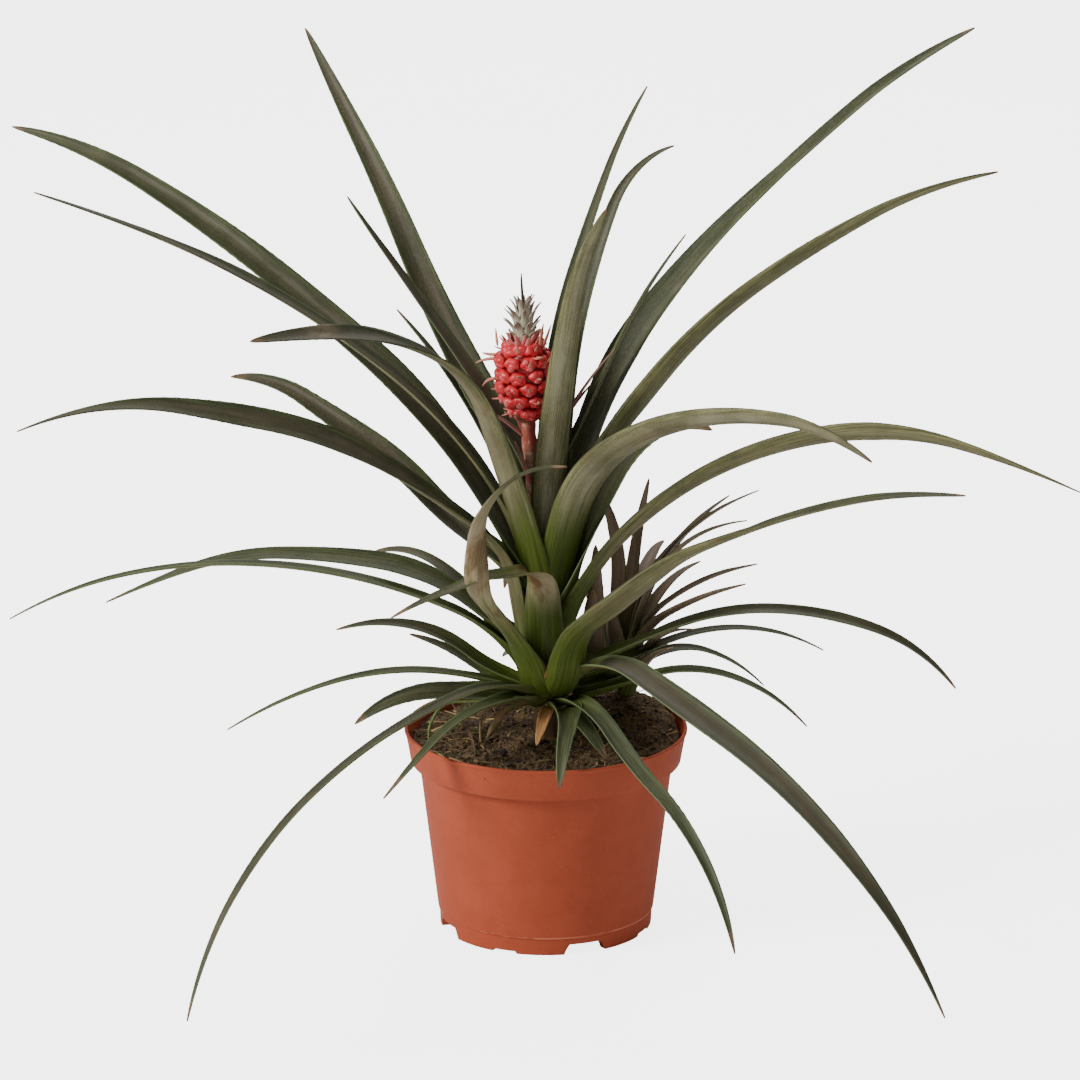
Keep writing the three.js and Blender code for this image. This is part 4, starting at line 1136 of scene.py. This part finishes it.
def make_stalk():
    """The banded stalk, and the bracts along it."""
    points = smooth_path(STALK_PATH, 44)
    bm = bmesh.new()
    ring = bmesh.ops.create_circle(bm, cap_ends=False, segments=20, radius=STALK_RADIUS)["verts"]
    bmesh.ops.translate(bm, vec=points[0], verts=ring)
    edges = bm.edges[:]
    for i in range(1, len(points)):
        made = bmesh.ops.extrude_edge_only(bm, edges=edges)["geom"]
        ring = [v for v in made if isinstance(v, bmesh.types.BMVert)]
        edges = [e for e in made if isinstance(e, bmesh.types.BMEdge) and e.is_boundary]
        bmesh.ops.translate(bm, vec=points[i] - points[i - 1], verts=ring)
        swell = 1 + 0.07 * math.sin(i * 1.1)
        for vert in ring:
            vert.co = points[i] + (vert.co - points[i]).normalized() * STALK_RADIUS * swell
    bmesh.ops.holes_fill(bm, edges=[e for e in bm.edges if e.is_boundary], sides=0)
    bmesh.ops.recalc_face_normals(bm, faces=bm.faces)
    finished("fruit_stalk", bm, [STALK], "stalk")
    bracts = bmesh.new()
    for number, one in enumerate(BRACTS):
        share = (one["root"] - STALK_PATH[0][2]) / (STALK_PATH[-1][2] - STALK_PATH[0][2])
        heart = smooth_path(STALK_PATH, 100)[round(share * 100)]
        heading = math.radians(one["heading"][0])
        start = Vector((heart.x + 1.5 * math.cos(heading), heart.y + 1.5 * math.sin(heading), one["root"]))
        joined(bracts, blade(one, start, seed=80 + number, cell=1.2, across=4, teeth=0.1))
    finished("stalk_bracts", bracts, [STALK_BRACT], solid=0.35)


def fruit_radius(share):
    """The fruit's radius at a share of its height."""
    ends = math.sqrt(max(0, 1 - abs(2 * share - 1) ** 3.2))
    return FRUIT["radius"] * ends * (0.86 + 0.14 * min(1, share * 1.6))


def on_stalk(lift):
    """The matrix that stands the fruit, or the crown on it, on the stalk's end."""
    return Matrix.Translation((FRUIT["x"], 0, FRUIT["foot"])) \
        @ Matrix.Rotation(math.radians(FRUIT["tilt"]), 4, "Y") @ Matrix.Translation((0, 0, lift))


def berry(seed):
    """One berry: a plump shield, its three lobes creased together over a small sunken eye."""
    bm = bmesh.new()
    bmesh.ops.create_uvsphere(bm, u_segments=24, v_segments=14, radius=1)
    out = bm.verts.layers.float.new("out")
    rng = random.Random(seed)
    twist = rng.uniform(-0.5, 0.5)
    plump = rng.uniform(0.9, 1.12)
    lobe = 2 * math.pi / 3
    for vert in bm.verts:
        x, y, z = vert.co
        angle = math.atan2(y, x)
        high = max(0.0, z)
        round_by = (angle - math.pi / 2 + twist) % lobe
        crease = 0.2 * math.exp(-(min(round_by, lobe - round_by) / 0.24) ** 2)
        crease *= min(1, high * 1.6) * min(1, (1 - high) * 9 + 0.5)
        sides = 1 - 0.08 * math.cos(5 * angle + twist) * (1 - high ** 2)
        eye = 0.26 * math.exp(-((1 - high) / 0.03) ** 2) if z > 0 else 0.0
        brow = 0.16 * math.sin(angle) * high * (1 - high) * 4
        # How far each point stands out: low in the creases and round the berry's foot, where the skin paints
        # shade, and high on its face, where it paints highlight flecks.
        vert[out] = max(0.0, z) * (1 - crease * 2.2)
        vert.co = (x * 3.95 * sides, y * 3.1 * sides, (z - eye - crease + brow) * 3.0 * plump)
    for axis in "YX":
        quarter = Matrix.Rotation(math.radians(90), 3, axis)
        bmesh.ops.rotate(bm, cent=(0, 0, 0), matrix=quarter, verts=bm.verts)
    return bm


def outward(radius, turn_degrees, height, tilt=0.0):
    """The matrix that sets a piece, drawn along +X, on the fruit's side."""
    return Matrix.Rotation(math.radians(turn_degrees), 4, "Z") @ Matrix.Translation((radius, 0, height)) \
        @ Matrix.Rotation(math.radians(-tilt), 4, "Y")


def scale_leaf(length, width, lean, curl, seed, cup=50.0, sheath=0.0):
    """A small pointed scale, drawn from the origin along +X and curling upwards."""
    one = leaf(0, [0], [lean, lean + curl], [0], length, width, sheath)
    return blade(one, Vector((0, 0, 0)), (0.5, 0.3, 0.3, 0.0, 0.5), seed, cell=length / 9, across=4,
                 teeth=0, cup=cup, ripple=0)


def fruit_core():
    """The fruit's body under its berries."""
    core = [(0, 0.4)]
    for i in range(1, 16):
        core.append((max(0.5, fruit_radius(i / 16) - 1.6), i / 16 * FRUIT["height"]))
    body = spun(core + [(0, FRUIT["height"] - 0.4)], 32)
    # The core stands out nowhere, so it takes the painted shade colour all over.
    body.verts.layers.float.new("out")
    return body


def add_berries(body, bracts, petals, rng):
    """Rows of berries, the bract under each, and the dried petals left on most."""
    for row in range(BERRY_ROWS):
        share = (row + 0.55) / (BERRY_ROWS + 0.1)
        radius = fruit_radius(share)
        height = share * FRUIT["height"]
        tilt = (share - 0.5) * 56
        for i in range(BERRIES_A_ROW):
            number = row * BERRIES_A_ROW + i + 1
            angle = 360 * (i + row / 2) / BERRIES_A_ROW + rng.uniform(-4.5, 4.5)
            size = rng.uniform(0.88, 1.07)
            spot = outward(radius - rng.uniform(0.9, 1.6), angle, height + rng.uniform(-0.6, 0.6), tilt)
            roll = Matrix.Rotation(rng.uniform(-0.3, 0.3), 4, "X")
            joined(body, berry(number), spot @ roll @ Matrix.Scale(size, 4))
            point = outward(radius + 0.2, angle, height - 2.3, tilt * 0.5)
            joined(bracts, scale_leaf(3.6, 2.6, 62, 50, 200 + number, cup=60), point)
            if rng.random() < 0.8:
                point = outward(radius + 1.2, angle + rng.uniform(-3, 3), height, tilt + rng.uniform(-20, 30))
                length, lean = rng.uniform(1.8, 3.2), rng.uniform(-30, 40)
                joined(petals, scale_leaf(length, 1.5, lean, 30, 300 + number), point)


def add_top_bracts(bracts, rng):
    """Two tiers of bracts between the fruit and its crown."""
    for i in range(22):
        tier = i % 2
        point = outward(6.4 - 1.6 * tier, 360 * i / 22 + rng.uniform(-5, 5), 30.2 + 0.9 * tier)
        length, lean = rng.uniform(5.5, 7.5), rng.uniform(58, 76) + 8 * tier
        joined(bracts, scale_leaf(length, 2.4, lean, -12, 700 + i, 60, 0.9), point)


def foot_bracts(rng):
    """The ring of bracts under the fruit."""
    feet = bmesh.new()
    for i in range(9):
        point = outward(3.0, 40 * i + rng.uniform(-8, 8), rng.uniform(-1.6, -0.4))
        joined(feet, scale_leaf(rng.uniform(6.5, 9), 3.4, rng.uniform(12, 30), 26, 740 + i, 60, 0.8), point)
    return feet


def make_fruit():
    """The fruit: its core and berries, the bracts, and the dried petals left on some berries."""
    body, bracts, petals = fruit_core(), bmesh.new(), bmesh.new()
    rng = random.Random(21)
    add_berries(body, bracts, petals, rng)
    for angle, radius, height, length, lean, curl in LONG_PETALS:
        petal = scale_leaf(length, 2.6, lean, curl, 400 + angle, cup=70)
        joined(petals, petal, outward(radius, angle, height))
    add_top_bracts(bracts, rng)
    feet = foot_bracts(rng)
    stand = on_stalk(0)
    for shape in (body, bracts, petals, feet):
        bmesh.ops.transform(shape, matrix=stand, verts=shape.verts)
    finished("foot_bracts", feet, [FOOT_BRACT], solid=0.3)
    finished("fruit_berries", body, [BERRY], "fruit")
    finished("berry_bracts", bracts, [BERRY_BRACT], solid=0.25)
    finished("dried_petals", petals, [PETAL], solid=0.25)


def make_crown():
    """The tuft: tiers of scales that curl outwards round a heart, and the dark spike above them."""
    heart = spun([(0, -0.4), (3.8, -0.4), (3.8, 3), (2.8, 9), (1.4, 14), (0, 15)], 16)
    heart.verts.layers.float_vector.new("place")
    tuft = bmesh.new()
    rng = random.Random(31)
    joined(tuft, heart)
    number = 0
    for count, foot_out, foot_up, tip_out, tip_up, width in CROWN_TIERS:
        for _ in range(count):
            number += 1
            out, up = tip_out - foot_out, tip_up - foot_up
            chord = math.degrees(math.atan2(up, out))
            length = math.hypot(out, up) * rng.uniform(0.95, 1.12)
            spot = outward(foot_out, number * GOLDEN_TURN * 0.97 + rng.uniform(-6, 6), foot_up)
            joined(tuft, scale_leaf(length, width, min(96, chord + 24), -46, 500 + number, 60, 0.9), spot)
    spike = scale_leaf(14, 1.7, 90, 1, 590, cup=80)
    place = on_stalk(FRUIT["height"] + GAP) @ Matrix.Translation((CROWN_SHIFT, 0, 0))
    bmesh.ops.transform(tuft, matrix=place, verts=tuft.verts)
    bmesh.ops.transform(spike, matrix=place @ Matrix.Translation((0.2, 0, 14.5)), verts=spike.verts)
    finished("crown_scales", tuft, [CROWN_SCALE], "crown", solid=0.3)
    finished("crown_spike", spike, [CROWN_SPIKE], solid=0.5)


# ------------------------------------------------------------------------------ stem and stage


def make_stem():
    """The stem keeps its solid's shape and gets its own skin."""
    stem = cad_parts["stem"]
    for place in stem.material_slots:
        place.material = STEM_SKIN


def make_camera():
    """The camera at the photograph's angle."""
    view = bpy.data.cameras.new("view")
    view.sensor_width = 36
    view.lens = CAMERA_LENS
    view.clip_end = 50
    camera = bpy.data.objects.new("view", view)
    camera.location = CAMERA_AIM + CAMERA_AWAY * Vector((0, -math.cos(CAMERA_RISE), math.sin(CAMERA_RISE)))
    camera.rotation_euler = (math.radians(90) - CAMERA_RISE, 0, 0)
    bpy.context.scene.collection.objects.link(camera)
    bpy.context.scene.camera = camera


def make_stage():
    """A pale floor, soft studio light, and the camera."""
    bm = bmesh.new()
    bmesh.ops.create_grid(bm, x_segments=1, y_segments=1, size=12000)
    set_down("floor", bm, [floor_paper()], smooth=False)
    world = bpy.data.worlds.new("studio")
    world.use_nodes = True
    sky = world.node_tree.nodes["Background"].inputs
    sky["Color"].default_value = (1, 1, 1, 1)
    sky["Strength"].default_value = SKY_STRENGTH
    bpy.context.scene.world = world
    for name, spot, size, power in LIGHTS:
        lamp = bpy.data.lights.new(name, "AREA")
        lamp.shape = "SQUARE"
        lamp.size = size
        lamp.energy = power
        box = bpy.data.objects.new(name, lamp)
        box.location = spot
        box.rotation_euler = (LIGHTS_AIM - Vector(spot)).to_track_quat("-Z", "Y").to_euler()
        bpy.context.scene.collection.objects.link(box)
    make_camera()


make_stage()
make_pot()
make_soil()
make_fallen()
make_stem()
make_leaves()
make_shoot()
make_stalk()
make_fruit()
make_crown()
